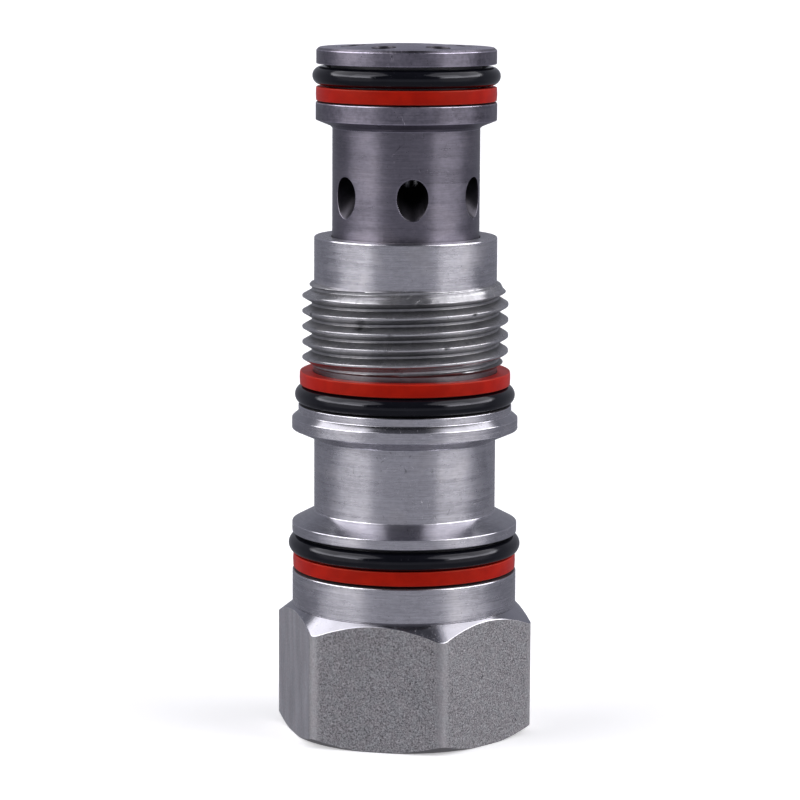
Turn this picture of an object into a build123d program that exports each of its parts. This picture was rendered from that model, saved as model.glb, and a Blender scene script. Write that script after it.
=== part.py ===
from build123d import *
import math
import os

# Screw-in hydraulic cartridge: three-port, pilot-to-open check valve.
# Millimetres.  The valve stands on its hex: the origin is the centre of the hex
# end face and +Z runs along the axis toward the nose.
# Angles about Z are counted from -Y toward +X.
# Heights are counted from a datum plane DATUM_Z above the end face; save() lifts
# every piece by DATUM_Z.

os.makedirs("parts", exist_ok=True)

DATUM_Z = 0.20

# --- hex -------------------------------------------------------------------
HEX_AF = 22.225            # 7/8 inch across flats
HEX_CORNER_R = 1.2         # rounding of the six upright corners
HEX_FLATS_TOP_Z = 12.1     # the flats are cut up to here
HEX_END_R = 11.2           # radius of the flat end face
HEX_END_SLOPE = 0.577      # 30 degree end chamfer, rise per mm of radius
HEX_CONE_SLOPE = 0.797     # upper chamfer cone, drop per mm of radius
HEX_TOP_R = 10.78          # small undercut where the cone meets the collar
HEX_TOP_Z = 12.264
HEX_BLANK_MARGIN = 0.6     # turned blank beyond the sharp hex corners

# --- outer steps of the body -------------------------------------------------
COLLAR_R = 10.90
COLLAR_TOP_Z = 15.65
UPPER_GROOVE_R = 9.50
UPPER_GROOVE_TOP_Z = 19.41
FLANGE_R = 10.93
FLANGE_TOP_Z = 20.37
NECK_R = 8.80
NECK_Z0, NECK_Z1 = 21.49, 28.63
SHOULDER_R = 10.95         # locating shoulder
SHOULDER_Z0, SHOULDER_Z1 = 29.57, 30.62
MID_LAND_R = 10.33
MID_LAND_Z0, MID_LAND_Z1 = 31.15, 31.90
MID_GROOVE_R = 8.90        # also the thread undercut
NOSE_COLLAR_R = 8.83
NOSE_COLLAR_Z0, NOSE_COLLAR_Z1 = 43.80, 48.20

# --- thread M20 x 1.5, right hand ---------------------------------------------
PITCH = 1.5
THREAD_CREST_R = 9.97
THREAD_ROOT_R = 9.05
THREAD_CREST_FLAT = 0.19
THREAD_FLANK_ANGLE = 30.0  # degrees, each side
THREAD_Z0 = 35.75          # foot of the run-out
THREAD_FULL_Z0, THREAD_FULL_Z1 = 36.30, 42.76
THREAD_CREST_AT_X = 35.615 # height of a crest centre where it crosses +X
THREAD_TURNS = 7
THREAD_OVERCUT = 0.13      # groove cutter beyond the crest
THREAD_TRIM_R = THREAD_CREST_R + 0.3
STOCK_Z0, STOCK_Z1 = 33.50, 46.50

# --- bores of the body ----------------------------------------------------------
PILOT_BORE_R = 5.55
PILOT_FLOOR_Z = 20.40
DRILL_POINT_R, DRILL_POINT_DEPTH = 1.5, 0.9
GUIDE_BORE_R = 6.50
GUIDE_SHELF_Z = 38.00
GUIDE_SHELF_CHAMFER = 0.2
SNAP_GROOVE_R = 6.95
SNAP_GROOVE_Z0, SNAP_GROOVE_Z1 = 40.45, 41.10
SLEEVE_BORE_R = 7.17
SLEEVE_SHELF_Z = 41.40
MOUTH_CHAMFER = 0.15
MOUTH_OVERCUT = 1.0
PILOT_HOLE_R = 1.00
PILOT_HOLE_Z = 23.00
PILOT_DRILL_Y = 8          # middle of the drill
PILOT_DRILL_LENGTH = 8

# --- sleeve retaining wire and its two grooves -------------------------------------
WIRE_Z = 45.00
WIRE_R = 0.50
WIRE_GROOVE_HALF = 0.55
WIRE_GROOVE_Z0 = WIRE_Z - WIRE_GROOVE_HALF
WIRE_GROOVE_Z1 = WIRE_Z + WIRE_GROOVE_HALF
WIRE_GROOVE_BODY_R = 7.75
WIRE_GROOVE_SLEEVE_R = 6.65
WIRE_RING_R = (WIRE_GROOVE_BODY_R + WIRE_GROOVE_SLEEVE_R) / 2
WIRE_GAP = 2.0
WIRE_GAP_CUT = 3.0         # radial and axial size of the cutter

# --- nose sleeve ----------------------------------------------------------------------
SLEEVE_R = 7.10
SLEEVE_Z0 = 41.50
SLEEVE_INNER_R = 3.60
SLEEVE_STEP_R = SLEEVE_R + 0.20
SLEEVE_STEP_Z0, SLEEVE_STEP_Z1 = 58.63, 58.83
NOSE_LAND_R = 8.70
NOSE_LAND_Z0, NOSE_LAND_Z1 = 59.38, 61.07
NOSE_GROOVE_R = 7.25
NOSE_GROOVE_Z1 = 64.73
TOP_LAND_R = 8.65
TOP_LAND_Z1 = 66.30
SEAT_SHELF_Z = 57.30
CHAMBER_R = 6.25
RETAINER_SHELF_Z = 65.00
RETAINER_BORE_R = 6.72

SIDE_HOLE_COUNT = 6
SIDE_HOLE_R = 1.50
SIDE_HOLE_Z = 52.16        # height where each hole's axis meets the outer wall
SIDE_HOLE_TILT = 40.0      # degrees, rising inward toward the nose
SIDE_HOLE_FIRST = 18.4     # angle of the first hole
SIDE_DRILL_INNER_R = 2.6   # the drill ends here, inside the bore
SIDE_DRILL_OUT = 3.0       # drill length beyond the outer wall

# --- nose retainer -------------------------------------------------------------------------
SEATED_GAP = 0.02          # height of a seated piece above its shelf
RETAINER_R = 6.70
RETAINER_Z0 = RETAINER_SHELF_Z + SEATED_GAP
RETAINER_RIM_Z = TOP_LAND_Z1
RETAINER_CROWN_Z = 66.65
BOSS_R = 2.50
BOSS_Z0 = 62.60
BOSS_CHAMFER = 0.15
STEM_BORE_R = 1.60
STEM_BORE_END_Z = 65.90
STEM_BORE_CONE = 0.35      # depth of the conical bore end
CROSS_HOLE_R = 0.4
CROSS_HOLE_Z = 64.45
CROSS_DRILL_LENGTH = 8
FACE_HOLE_COUNT = 6
FACE_HOLE_R = 1.15
FACE_HOLE_PCR = 5.15
FACE_HOLE_FIRST = 48.4
FACE_DRILL_Z, FACE_DRILL_LENGTH = 66, 4
FACE_SINK_R0 = FACE_HOLE_R - 0.02
FACE_SINK_R1 = FACE_HOLE_R + 0.38
FACE_SINK_Z, FACE_SINK_DEPTH = 66.32, 0.4

# --- seat, poppet and check spring -------------------------------------------------------------
SEAT_R = 6.23
SEAT_BORE_R = 3.20
SEAT_Z0 = SEAT_SHELF_Z + SEATED_GAP
SEAT_Z1 = 59.10
SEAT_LAND = 0.50           # radial and axial size of the 45 degree seat
POPPET_GAP = 0.04          # axial gap between poppet cone and seat
POPPET_NOSE_Z = 57.60
POPPET_HEAD_R = 4.26
POPPET_BACK_Z = 60.30
STEM_R = 1.55
STEM_TOP_Z = 63.60
SPRING_END_GAP = 0.03
CHECK_SPRING_R = 3.20
CHECK_SPRING_WIRE_R = 0.35
CHECK_SPRING_TURNS = 3.4

# --- pilot piston group ----------------------------------------------------------------------------
PISTON_R = 5.50
PISTON_NOSE_R = 4.50       # reduced end toward the hex
PISTON_Z0, PISTON_STEP_Z, PISTON_Z1 = 20.45, 24.60, 31.50
PISTON_GROOVE_R = 3.85
PISTON_GROOVE_Z0, PISTON_GROOVE_Z1 = 26.10, 30.40
PISTON_SEAL_Z = (PISTON_GROOVE_Z0 + PISTON_GROOVE_Z1) / 2
PISTON_SEAL_R = 0.84
PISTON_BACKUP_NEAR = 0.88  # backup ring faces, distance from the seal centre
PISTON_BACKUP_FAR = 2.10
PIN_R = 1.50
PIN_Z0, PIN_Z1 = 25.00, 57.55
PIN_SOCKET_R = PIN_R + 0.01
PIN_SOCKET_Z = PIN_Z0 - 0.05
PIN_SOCKET_TIP_Z = PIN_Z0 - 0.55
RETURN_SPRING_R = 4.20
RETURN_SPRING_WIRE_R = 0.45
RETURN_SPRING_TURNS = 4.1

# --- pilot guide and its snap ring --------------------------------------------------------------------
GUIDE_R = 6.47
GUIDE_Z0, GUIDE_Z1 = GUIDE_SHELF_Z + SEATED_GAP, 40.42
GUIDE_PIN_BORE_R = 1.55
GUIDE_VENT_COUNT = 4
GUIDE_VENT_R = 0.60
GUIDE_VENT_PCR = 3.90
GUIDE_VENT_FIRST = 45
GUIDE_DRILL_Z, GUIDE_DRILL_LENGTH = 39.2, 6
SNAP_Z0, SNAP_Z1 = 40.50, 41.05
SNAP_R, SNAP_INNER_R = 6.90, 5.95
SNAP_GAP, SNAP_GAP_DEPTH, SNAP_GAP_Y = 3.4, 3.0, -6.2
SNAP_LUG_X, SNAP_LUG_Y, SNAP_LUG_R = 2.35, -5.35, 0.85
SNAP_EYE_Y, SNAP_EYE_R = -5.25, 0.42

# --- outside seals: each groove holds one O-ring and one backup ring --------------------------------------
ORING_SECTION_R = 0.89
NOSE_ORING_SECTION_R = 0.888
ORING_FIT = 0.005          # gap between groove floor and O-ring
NOSE_ORING_FIT = 0.007
UPPER_ORING_Z = 18.22
MID_ORING_Z = 32.84
NOSE_ORING_Z = 63.60
BACKUP_FIT = 0.02          # radial offset of the backup rings
UPPER_BACKUP_R = 10.86
UPPER_BACKUP_Z0, UPPER_BACKUP_Z1 = 15.90, 17.31
MID_BACKUP_R = 10.23
MID_BACKUP_Z0, MID_BACKUP_Z1 = 33.83, 35.15
NOSE_BACKUP_Z0, NOSE_BACKUP_Z1 = 61.20, 62.57

BASE_ALIGN = (Align.CENTER, Align.CENTER, Align.MIN)


# --- helpers ------------------------------------------------------------------

def turned(points):
    """Solid of revolution about Z from a closed (radius, height) outline.

    A third number on a point breaks that corner with a small flat.
    """
    outline = []
    for i, (r, z, *corner_break) in enumerate(points):
        if not corner_break:
            outline.append((r, z))
            continue
        for neighbour in (points[i - 1], points[(i + 1) % len(points)]):
            dr, dz = neighbour[0] - r, neighbour[1] - z
            scale = corner_break[0] / math.hypot(dr, dz)
            outline.append((r + dr * scale, z + dz * scale))
    face = Plane.XZ * make_face(Polyline(*outline, close=True))
    return revolve(face, Axis.Z, 360)


def at_angle(angle_deg, radius, height=0.0):
    """Point at an angle counted from -Y toward +X."""
    angle = math.radians(angle_deg)
    return (radius * math.sin(angle), -radius * math.cos(angle), height)


def backup_ring(groove_r, outer_r, z0, z1, edge=0.06):
    """Flat ring around a groove floor, with lightly broken edges."""
    inner_r = groove_r + BACKUP_FIT
    return turned([
        (inner_r, z0, edge), (outer_r, z0, edge), (outer_r, z1, edge), (inner_r, z1, edge),
    ])


def o_ring(groove_r, z, section_r=ORING_SECTION_R, fit=ORING_FIT):
    return Pos(0, 0, z) * Torus(groove_r + fit + section_r, section_r)


def coil(radius, wire_r, lower_z, upper_z, turns):
    """Round-wire spring with ground ends, fitted between two faces."""
    z0, z1 = lower_z + SPRING_END_GAP, upper_z - SPRING_END_GAP
    inset = wire_r * 0.35
    height = (z1 - z0) - 2 * inset
    path = Helix(pitch=height / turns, height=height, radius=radius)
    start = Plane(origin=path @ 0, z_dir=path % 0)
    wire = sweep(start * Circle(wire_r), path=path, is_frenet=True)
    wire = Pos(0, 0, z0 + inset) * wire
    # the slab between the end planes grinds the wire flat
    slab = Pos(0, 0, (z0 + z1) / 2) * Cylinder(radius + 3 * wire_r, z1 - z0)
    return wire & slab


def save(shape, name):
    solids = (Pos(0, 0, DATUM_Z) * shape).solids()
    piece = solids[0] if len(solids) == 1 else Compound(children=list(solids))
    piece.label = name
    export_step(piece, os.path.join("parts", name + ".step"))


# --- hex body: one piece, hex to nose collar, bored from the nose end -----------

def body_lower():
    """Hex and outer steps, up to the thread undercut."""
    hex_corner_r = HEX_AF / 2 / math.cos(math.radians(30))
    blank_r = hex_corner_r + HEX_BLANK_MARGIN
    lower = turned([
        (0, -DATUM_Z),
        (HEX_END_R, -DATUM_Z),
        (blank_r, (blank_r - HEX_END_R) * HEX_END_SLOPE - DATUM_Z),
        (blank_r, HEX_TOP_Z - (blank_r - HEX_TOP_R) * HEX_CONE_SLOPE),
        (HEX_TOP_R, HEX_TOP_Z),
        (COLLAR_R, HEX_TOP_Z + 0.10),
        (COLLAR_R, COLLAR_TOP_Z, 0.12),
        (UPPER_GROOVE_R, COLLAR_TOP_Z),
        (UPPER_GROOVE_R, UPPER_GROOVE_TOP_Z),
        (FLANGE_R, UPPER_GROOVE_TOP_Z, 0.12),
        (FLANGE_R, FLANGE_TOP_Z, 0.06),
        (NECK_R, NECK_Z0, 0.10),
        (NECK_R, NECK_Z1, 0.10),
        (SHOULDER_R, SHOULDER_Z0, 0.06),
        (SHOULDER_R, SHOULDER_Z1, 0.06),
        (MID_LAND_R, MID_LAND_Z0),
        (MID_LAND_R, MID_LAND_Z1, 0.10),
        (MID_GROOVE_R, MID_LAND_Z1),
        (MID_GROOVE_R, STOCK_Z0),
        (0, STOCK_Z0),
    ])
    # the flats are cut by a round blank with the hex prism taken out of it
    flats_height = HEX_FLATS_TOP_Z + DATUM_Z
    hex_face = RegularPolygon(radius=hex_corner_r, side_count=6, major_radius=True)
    hex_prism = Pos(0, 0, -DATUM_Z) * extrude(hex_face, amount=flats_height)
    hex_prism = fillet(hex_prism.edges().filter_by(Axis.Z), HEX_CORNER_R)
    cutter_blank = Pos(0, 0, -DATUM_Z) * Cylinder(20, flats_height, align=BASE_ALIGN)
    return lower - (cutter_blank - hex_prism)


def body_thread():
    """Thread cut one turn at a time from plain stock, then trimmed at its ends."""
    flank = math.tan(math.radians(THREAD_FLANK_ANGLE))
    thread_depth = THREAD_CREST_R - THREAD_ROOT_R
    root_half = PITCH / 2 - THREAD_CREST_FLAT / 2 - thread_depth * flank
    cut_r = THREAD_CREST_R + THREAD_OVERCUT
    cut_half = root_half + (cut_r - THREAD_ROOT_R) * flank
    groove_face = Plane.XZ * make_face(Polyline(
        (THREAD_ROOT_R, -root_half), (cut_r, -cut_half),
        (cut_r, cut_half), (THREAD_ROOT_R, root_half),
        close=True))
    one_turn = sweep(groove_face, path=Helix(pitch=PITCH, height=PITCH, radius=THREAD_ROOT_R),
                     is_frenet=True)
    stock_mid = (STOCK_Z0 + STOCK_Z1) / 2
    threaded = Pos(0, 0, stock_mid) * Cylinder(THREAD_CREST_R, STOCK_Z1 - STOCK_Z0)
    for k in range(THREAD_TURNS):
        threaded = threaded - Pos(0, 0, THREAD_CREST_AT_X - PITCH / 2 + PITCH * k) * one_turn
    return threaded & turned([
        (0, STOCK_Z0),
        (MID_GROOVE_R, STOCK_Z0),
        (MID_GROOVE_R, THREAD_Z0 - 0.05),
        (THREAD_ROOT_R, THREAD_Z0),
        (THREAD_TRIM_R, THREAD_FULL_Z0 + 0.18),
        (THREAD_TRIM_R, THREAD_FULL_Z1 - 0.39),
        (NOSE_COLLAR_R, NOSE_COLLAR_Z0),
        (NOSE_COLLAR_R, STOCK_Z1),
        (0, STOCK_Z1),
    ])


def body_bore():
    """Cutter for the stepped bore, open at the nose end."""
    return turned([
        (0, NOSE_COLLAR_Z1 + MOUTH_OVERCUT),
        (SLEEVE_BORE_R + MOUTH_CHAMFER, NOSE_COLLAR_Z1 + MOUTH_OVERCUT),
        (SLEEVE_BORE_R + MOUTH_CHAMFER, NOSE_COLLAR_Z1),
        (SLEEVE_BORE_R, NOSE_COLLAR_Z1 - MOUTH_CHAMFER),
        (SLEEVE_BORE_R, WIRE_GROOVE_Z1),
        (WIRE_GROOVE_BODY_R, WIRE_GROOVE_Z1),
        (WIRE_GROOVE_BODY_R, WIRE_GROOVE_Z0),
        (SLEEVE_BORE_R, WIRE_GROOVE_Z0),
        (SLEEVE_BORE_R, SLEEVE_SHELF_Z),
        (GUIDE_BORE_R, SLEEVE_SHELF_Z),
        (GUIDE_BORE_R, SNAP_GROOVE_Z1),
        (SNAP_GROOVE_R, SNAP_GROOVE_Z1),
        (SNAP_GROOVE_R, SNAP_GROOVE_Z0),
        (GUIDE_BORE_R, SNAP_GROOVE_Z0),
        (GUIDE_BORE_R, GUIDE_SHELF_Z),
        (PILOT_BORE_R + GUIDE_SHELF_CHAMFER, GUIDE_SHELF_Z),
        (PILOT_BORE_R, GUIDE_SHELF_Z - GUIDE_SHELF_CHAMFER),
        (PILOT_BORE_R, PILOT_FLOOR_Z),
        (DRILL_POINT_R, PILOT_FLOOR_Z),
        (0, PILOT_FLOOR_Z - DRILL_POINT_DEPTH),
    ])


def hex_body():
    nose_collar = turned([
        (0, STOCK_Z1),
        (NOSE_COLLAR_R, STOCK_Z1),
        (NOSE_COLLAR_R, NOSE_COLLAR_Z1, 0.20),
        (0, NOSE_COLLAR_Z1),
    ])
    body = (body_lower() + body_thread() + nose_collar) - body_bore()
    # pilot port: one radial hole on the +Y side of the neck
    drill = Rot(X=90) * Cylinder(PILOT_HOLE_R, PILOT_DRILL_LENGTH)
    return body - Pos(0, PILOT_DRILL_Y, PILOT_HOLE_Z) * drill


# --- nose pieces ------------------------------------------------------------------

def nose_sleeve():
    """Floating nose with six slanting side holes."""
    sleeve = turned([
        (SLEEVE_INNER_R, SLEEVE_Z0),
        (SLEEVE_R, SLEEVE_Z0, 0.20),
        (SLEEVE_R, WIRE_GROOVE_Z0),
        (WIRE_GROOVE_SLEEVE_R, WIRE_GROOVE_Z0),
        (WIRE_GROOVE_SLEEVE_R, WIRE_GROOVE_Z1),
        (SLEEVE_R, WIRE_GROOVE_Z1),
        (SLEEVE_R, SLEEVE_STEP_Z0, 0.10),
        (SLEEVE_STEP_R, SLEEVE_STEP_Z1, 0.10),
        (NOSE_LAND_R, NOSE_LAND_Z0, 0.08),
        (NOSE_LAND_R, NOSE_LAND_Z1, 0.10),
        (NOSE_GROOVE_R, NOSE_LAND_Z1),
        (NOSE_GROOVE_R, NOSE_GROOVE_Z1),
        (TOP_LAND_R, NOSE_GROOVE_Z1, 0.10),
        (TOP_LAND_R, TOP_LAND_Z1, 0.30),
        (RETAINER_BORE_R, TOP_LAND_Z1),
        (RETAINER_BORE_R, RETAINER_SHELF_Z),
        (CHAMBER_R, RETAINER_SHELF_Z),
        (CHAMBER_R, SEAT_SHELF_Z),
        (SLEEVE_INNER_R, SEAT_SHELF_Z),
    ])
    tilt = math.radians(SIDE_HOLE_TILT)
    reach_in = (SLEEVE_R - SIDE_DRILL_INNER_R) / math.cos(tilt)
    inner_z = SIDE_HOLE_Z + reach_in * math.sin(tilt)
    for k in range(SIDE_HOLE_COUNT):
        angle = SIDE_HOLE_FIRST + 360 / SIDE_HOLE_COUNT * k
        inner = Vector(*at_angle(angle, SIDE_DRILL_INNER_R, inner_z))
        outward = Vector(*at_angle(angle, math.cos(tilt), -math.sin(tilt)))
        sleeve = sleeve - Plane(origin=inner, z_dir=outward) * Cylinder(
            SIDE_HOLE_R, reach_in + SIDE_DRILL_OUT, align=BASE_ALIGN)
    return sleeve


def nose_retainer():
    """Crowned end disc with flow holes and a boss that guides the stem."""
    crown = RETAINER_CROWN_Z - RETAINER_RIM_Z
    sphere_r = (RETAINER_R ** 2 + crown ** 2) / (2 * crown)
    mid_r = RETAINER_R / 2
    mid_z = RETAINER_CROWN_Z - sphere_r + math.sqrt(sphere_r ** 2 - mid_r ** 2)
    with BuildPart() as builder:
        with BuildSketch(Plane.XZ):
            with BuildLine():
                Polyline(
                    (0, STEM_BORE_END_Z),
                    (STEM_BORE_R, STEM_BORE_END_Z - STEM_BORE_CONE),
                    (STEM_BORE_R, BOSS_Z0 + BOSS_CHAMFER),
                    (STEM_BORE_R + BOSS_CHAMFER, BOSS_Z0),
                    (BOSS_R - BOSS_CHAMFER, BOSS_Z0),
                    (BOSS_R, BOSS_Z0 + BOSS_CHAMFER),
                    (BOSS_R, RETAINER_Z0),
                    (RETAINER_R, RETAINER_Z0),
                    (RETAINER_R, RETAINER_RIM_Z),
                )
                ThreePointArc((RETAINER_R, RETAINER_RIM_Z), (mid_r, mid_z),
                              (0, RETAINER_CROWN_Z))
                Line((0, RETAINER_CROWN_Z), (0, STEM_BORE_END_Z))
            make_face()
        revolve(axis=Axis.Z)
    retainer = builder.part
    # flow holes, each countersunk at the crown
    for k in range(FACE_HOLE_COUNT):
        x, y, _ = at_angle(FACE_HOLE_FIRST + 360 / FACE_HOLE_COUNT * k, FACE_HOLE_PCR)
        retainer = retainer - Pos(x, y, FACE_DRILL_Z) * Cylinder(FACE_HOLE_R, FACE_DRILL_LENGTH)
        retainer = retainer - Pos(x, y, FACE_SINK_Z) * Cone(
            FACE_SINK_R0, FACE_SINK_R1, FACE_SINK_DEPTH)
    # cross hole through the boss along X
    cross_drill = Rot(Y=90) * Cylinder(CROSS_HOLE_R, CROSS_DRILL_LENGTH)
    return retainer - Pos(0, 0, CROSS_HOLE_Z) * cross_drill


def seat_ring():
    return turned([
        (SEAT_BORE_R, SEAT_Z0),
        (SEAT_R, SEAT_Z0, 0.15),
        (SEAT_R, SEAT_Z1, 0.15),
        (SEAT_BORE_R + SEAT_LAND, SEAT_Z1),
        (SEAT_BORE_R, SEAT_Z1 - SEAT_LAND),
    ])


def check_poppet():
    """Poppet with a 45 degree cone and a stem toward the nose."""
    # height at which the cone, carried on, would reach the axis
    cone_apex_z = SEAT_Z1 - SEAT_LAND - SEAT_BORE_R + POPPET_GAP
    return turned([
        (0, POPPET_NOSE_Z),
        (POPPET_NOSE_Z - cone_apex_z, POPPET_NOSE_Z),
        (POPPET_HEAD_R, cone_apex_z + POPPET_HEAD_R),
        (POPPET_HEAD_R, POPPET_BACK_Z, 0.15),
        (STEM_R, POPPET_BACK_Z),
        (STEM_R, STEM_TOP_Z, 0.15),
        (0, STEM_TOP_Z),
    ])


def sleeve_retaining_wire():
    """Round-wire ring, open at +Y, half in the body's groove, half in the sleeve's."""
    wire = Pos(0, 0, WIRE_Z) * Torus(WIRE_RING_R, WIRE_R)
    return wire - Pos(0, WIRE_RING_R, WIRE_Z) * Box(WIRE_GAP, WIRE_GAP_CUT, WIRE_GAP_CUT)


# --- pilot pieces --------------------------------------------------------------------

def pilot_piston():
    return turned([
        (0, PISTON_Z0),
        (PISTON_NOSE_R, PISTON_Z0, 0.20),
        (PISTON_NOSE_R, PISTON_STEP_Z),
        (PISTON_R, PISTON_STEP_Z, 0.15),
        (PISTON_R, PISTON_GROOVE_Z0),
        (PISTON_GROOVE_R, PISTON_GROOVE_Z0),
        (PISTON_GROOVE_R, PISTON_GROOVE_Z1),
        (PISTON_R, PISTON_GROOVE_Z1),
        (PISTON_R, PISTON_Z1, 0.15),
        (PIN_SOCKET_R, PISTON_Z1),
        (PIN_SOCKET_R, PIN_SOCKET_Z),
        (0, PIN_SOCKET_TIP_Z),
    ])


def pilot_pin():
    return turned([(0, PIN_Z0), (PIN_R, PIN_Z0, 0.20), (PIN_R, PIN_Z1, 0.20), (0, PIN_Z1)])


def piston_backup(offset0, offset1):
    """Backup ring between two heights counted from the piston seal."""
    return backup_ring(PISTON_GROOVE_R, PISTON_R + BACKUP_FIT,
                       PISTON_SEAL_Z + offset0, PISTON_SEAL_Z + offset1)


def pilot_guide():
    """Disc that guides the pin, with vent holes through it."""
    guide = turned([
        (GUIDE_PIN_BORE_R, GUIDE_Z0, 0.12),
        (GUIDE_R, GUIDE_Z0, 0.15),
        (GUIDE_R, GUIDE_Z1, 0.15),
        (GUIDE_PIN_BORE_R, GUIDE_Z1, 0.12),
    ])
    for k in range(GUIDE_VENT_COUNT):
        angle = GUIDE_VENT_FIRST + 360 / GUIDE_VENT_COUNT * k
        place = Pos(*at_angle(angle, GUIDE_VENT_PCR, GUIDE_DRILL_Z))
        guide = guide - place * Cylinder(GUIDE_VENT_R, GUIDE_DRILL_LENGTH)
    return guide


def guide_snap_ring():
    """Internal retaining ring, open at -Y, with two eyed lugs."""
    mid_z = (SNAP_Z0 + SNAP_Z1) / 2
    thickness = SNAP_Z1 - SNAP_Z0
    cut_height = thickness + 1
    snap = Pos(0, 0, mid_z) * (
        Cylinder(SNAP_R, thickness) - Cylinder(SNAP_INNER_R, cut_height))
    snap = snap - Pos(0, SNAP_GAP_Y, mid_z) * Box(SNAP_GAP, SNAP_GAP_DEPTH, cut_height)
    for side in (-1, 1):
        snap = snap + Pos(side * SNAP_LUG_X, SNAP_LUG_Y, mid_z) * Cylinder(SNAP_LUG_R, thickness)
    for side in (-1, 1):
        snap = snap - Pos(side * SNAP_LUG_X, SNAP_EYE_Y, mid_z) * Cylinder(SNAP_EYE_R, cut_height)
    return snap


# --- build and save ---------------------------------------------------------------------

save(hex_body(), "hex_body")

save(o_ring(UPPER_GROOVE_R, UPPER_ORING_Z), "upper_oring")
save(backup_ring(UPPER_GROOVE_R, UPPER_BACKUP_R, UPPER_BACKUP_Z0, UPPER_BACKUP_Z1),
     "upper_backup_ring")
save(o_ring(MID_GROOVE_R, MID_ORING_Z), "mid_oring")
save(backup_ring(MID_GROOVE_R, MID_BACKUP_R, MID_BACKUP_Z0, MID_BACKUP_Z1), "mid_backup_ring")
save(o_ring(NOSE_GROOVE_R, NOSE_ORING_Z, NOSE_ORING_SECTION_R, NOSE_ORING_FIT), "nose_oring")
save(backup_ring(NOSE_GROOVE_R, NOSE_LAND_R, NOSE_BACKUP_Z0, NOSE_BACKUP_Z1),
     "nose_backup_ring")

save(nose_sleeve(), "nose_sleeve")
save(nose_retainer(), "nose_retainer")
save(seat_ring(), "seat_ring")
save(check_poppet(), "check_poppet")
save(coil(CHECK_SPRING_R, CHECK_SPRING_WIRE_R, POPPET_BACK_Z, RETAINER_Z0,
          CHECK_SPRING_TURNS), "check_spring")

save(pilot_piston(), "pilot_piston")
save(pilot_pin(), "pilot_pin")
save(o_ring(PISTON_GROOVE_R, PISTON_SEAL_Z, PISTON_SEAL_R), "pilot_piston_oring")
save(piston_backup(-PISTON_BACKUP_FAR, -PISTON_BACKUP_NEAR), "pilot_backup_rear")
save(piston_backup(PISTON_BACKUP_NEAR, PISTON_BACKUP_FAR), "pilot_backup_front")
save(coil(RETURN_SPRING_R, RETURN_SPRING_WIRE_R, PISTON_Z1, GUIDE_Z0,
          RETURN_SPRING_TURNS), "pilot_return_spring")
save(pilot_guide(), "pilot_guide")
save(guide_snap_ring(), "guide_snap_ring")
save(sleeve_retaining_wire(), "sleeve_retaining_wire")
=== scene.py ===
# A threaded valve, standing upright on its hex end. The axis is +Z: the hex is at the bottom,
# the collars, seals and thread are above it, and the floating nose with its six slanting
# holes is at the top. The camera stands toward -Y, turned a little toward +X.
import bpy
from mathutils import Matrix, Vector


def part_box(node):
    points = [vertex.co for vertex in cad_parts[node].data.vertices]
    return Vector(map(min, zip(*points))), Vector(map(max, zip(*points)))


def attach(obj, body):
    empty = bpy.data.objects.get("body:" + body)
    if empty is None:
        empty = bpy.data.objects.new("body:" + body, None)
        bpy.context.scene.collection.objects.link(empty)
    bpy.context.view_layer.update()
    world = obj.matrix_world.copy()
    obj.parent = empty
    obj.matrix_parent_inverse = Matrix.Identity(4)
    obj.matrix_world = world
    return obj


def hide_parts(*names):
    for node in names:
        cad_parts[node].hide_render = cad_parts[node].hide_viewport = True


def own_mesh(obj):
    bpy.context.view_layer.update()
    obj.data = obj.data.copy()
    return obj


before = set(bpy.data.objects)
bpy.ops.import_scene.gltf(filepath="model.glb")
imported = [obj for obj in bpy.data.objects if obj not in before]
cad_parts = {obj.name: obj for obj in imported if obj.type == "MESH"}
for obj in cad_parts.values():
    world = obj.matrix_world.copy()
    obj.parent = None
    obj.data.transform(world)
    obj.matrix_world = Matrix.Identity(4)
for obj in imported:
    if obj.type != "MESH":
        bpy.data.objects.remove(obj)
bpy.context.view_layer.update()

import math

import bmesh
import bpy
import numpy as np
from mathutils import Matrix, Vector
from mathutils.kdtree import KDTree

# ---------------------------------------------------------------------------
# Sizes, in millimetres
# ---------------------------------------------------------------------------
MM = 0.001
DATUM = 0.20               # heights are counted from this plane above the end face


def top_of(node):
    """Height of a CAD node's top above the datum."""
    low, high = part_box(node)
    return high.z / MM - DATUM


body_low, body_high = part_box("hex_body")

# Hex: corners at 0, 60, ... degrees from +X
HEX_HALF_FLATS = (body_high.y - body_low.y) / 2 / MM
HEX_CORNER_ROUND = 1.2
HEX_SOFT = 0.05            # length of the softened edges
HEX_LIMIT_Z = 12.4         # finishes of the hex stop at this height above the floor
END_R, END_SLOPE = 11.20, 0.577
CONE_TOP_R, CONE_TOP_Z, CONE_SLOPE = 10.78, 12.264, 0.797

# Neck with the pilot hole, and the lip above the thread
NECK_R, LOWER_BORE_R = 8.80, 5.55
PILOT_Z, PILOT_R = 23.0, 1.0
PILOT_ROWS = (21.75, 22.05, 22.40, 22.80, 23.20, 23.60, 23.95, 24.25)
LIP_R, UPPER_BORE_R = 8.83, 7.17
BODY_TOP = top_of("hex_body")

# Thread
PITCH, CREST_R, ROOT_R = 1.5, 9.97, 9.05
CREST_Z = 35.615           # height of a crest on the +X side
HALF_CREST = 0.095
FLANK_TAN = math.tan(math.radians(30))
THREAD_Z0, THREAD_Z1 = 35.75, 43.80
FULL_Z0, FULL_Z1 = 36.48, 42.37        # the tapers at both ends are clear of the crests here

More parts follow.
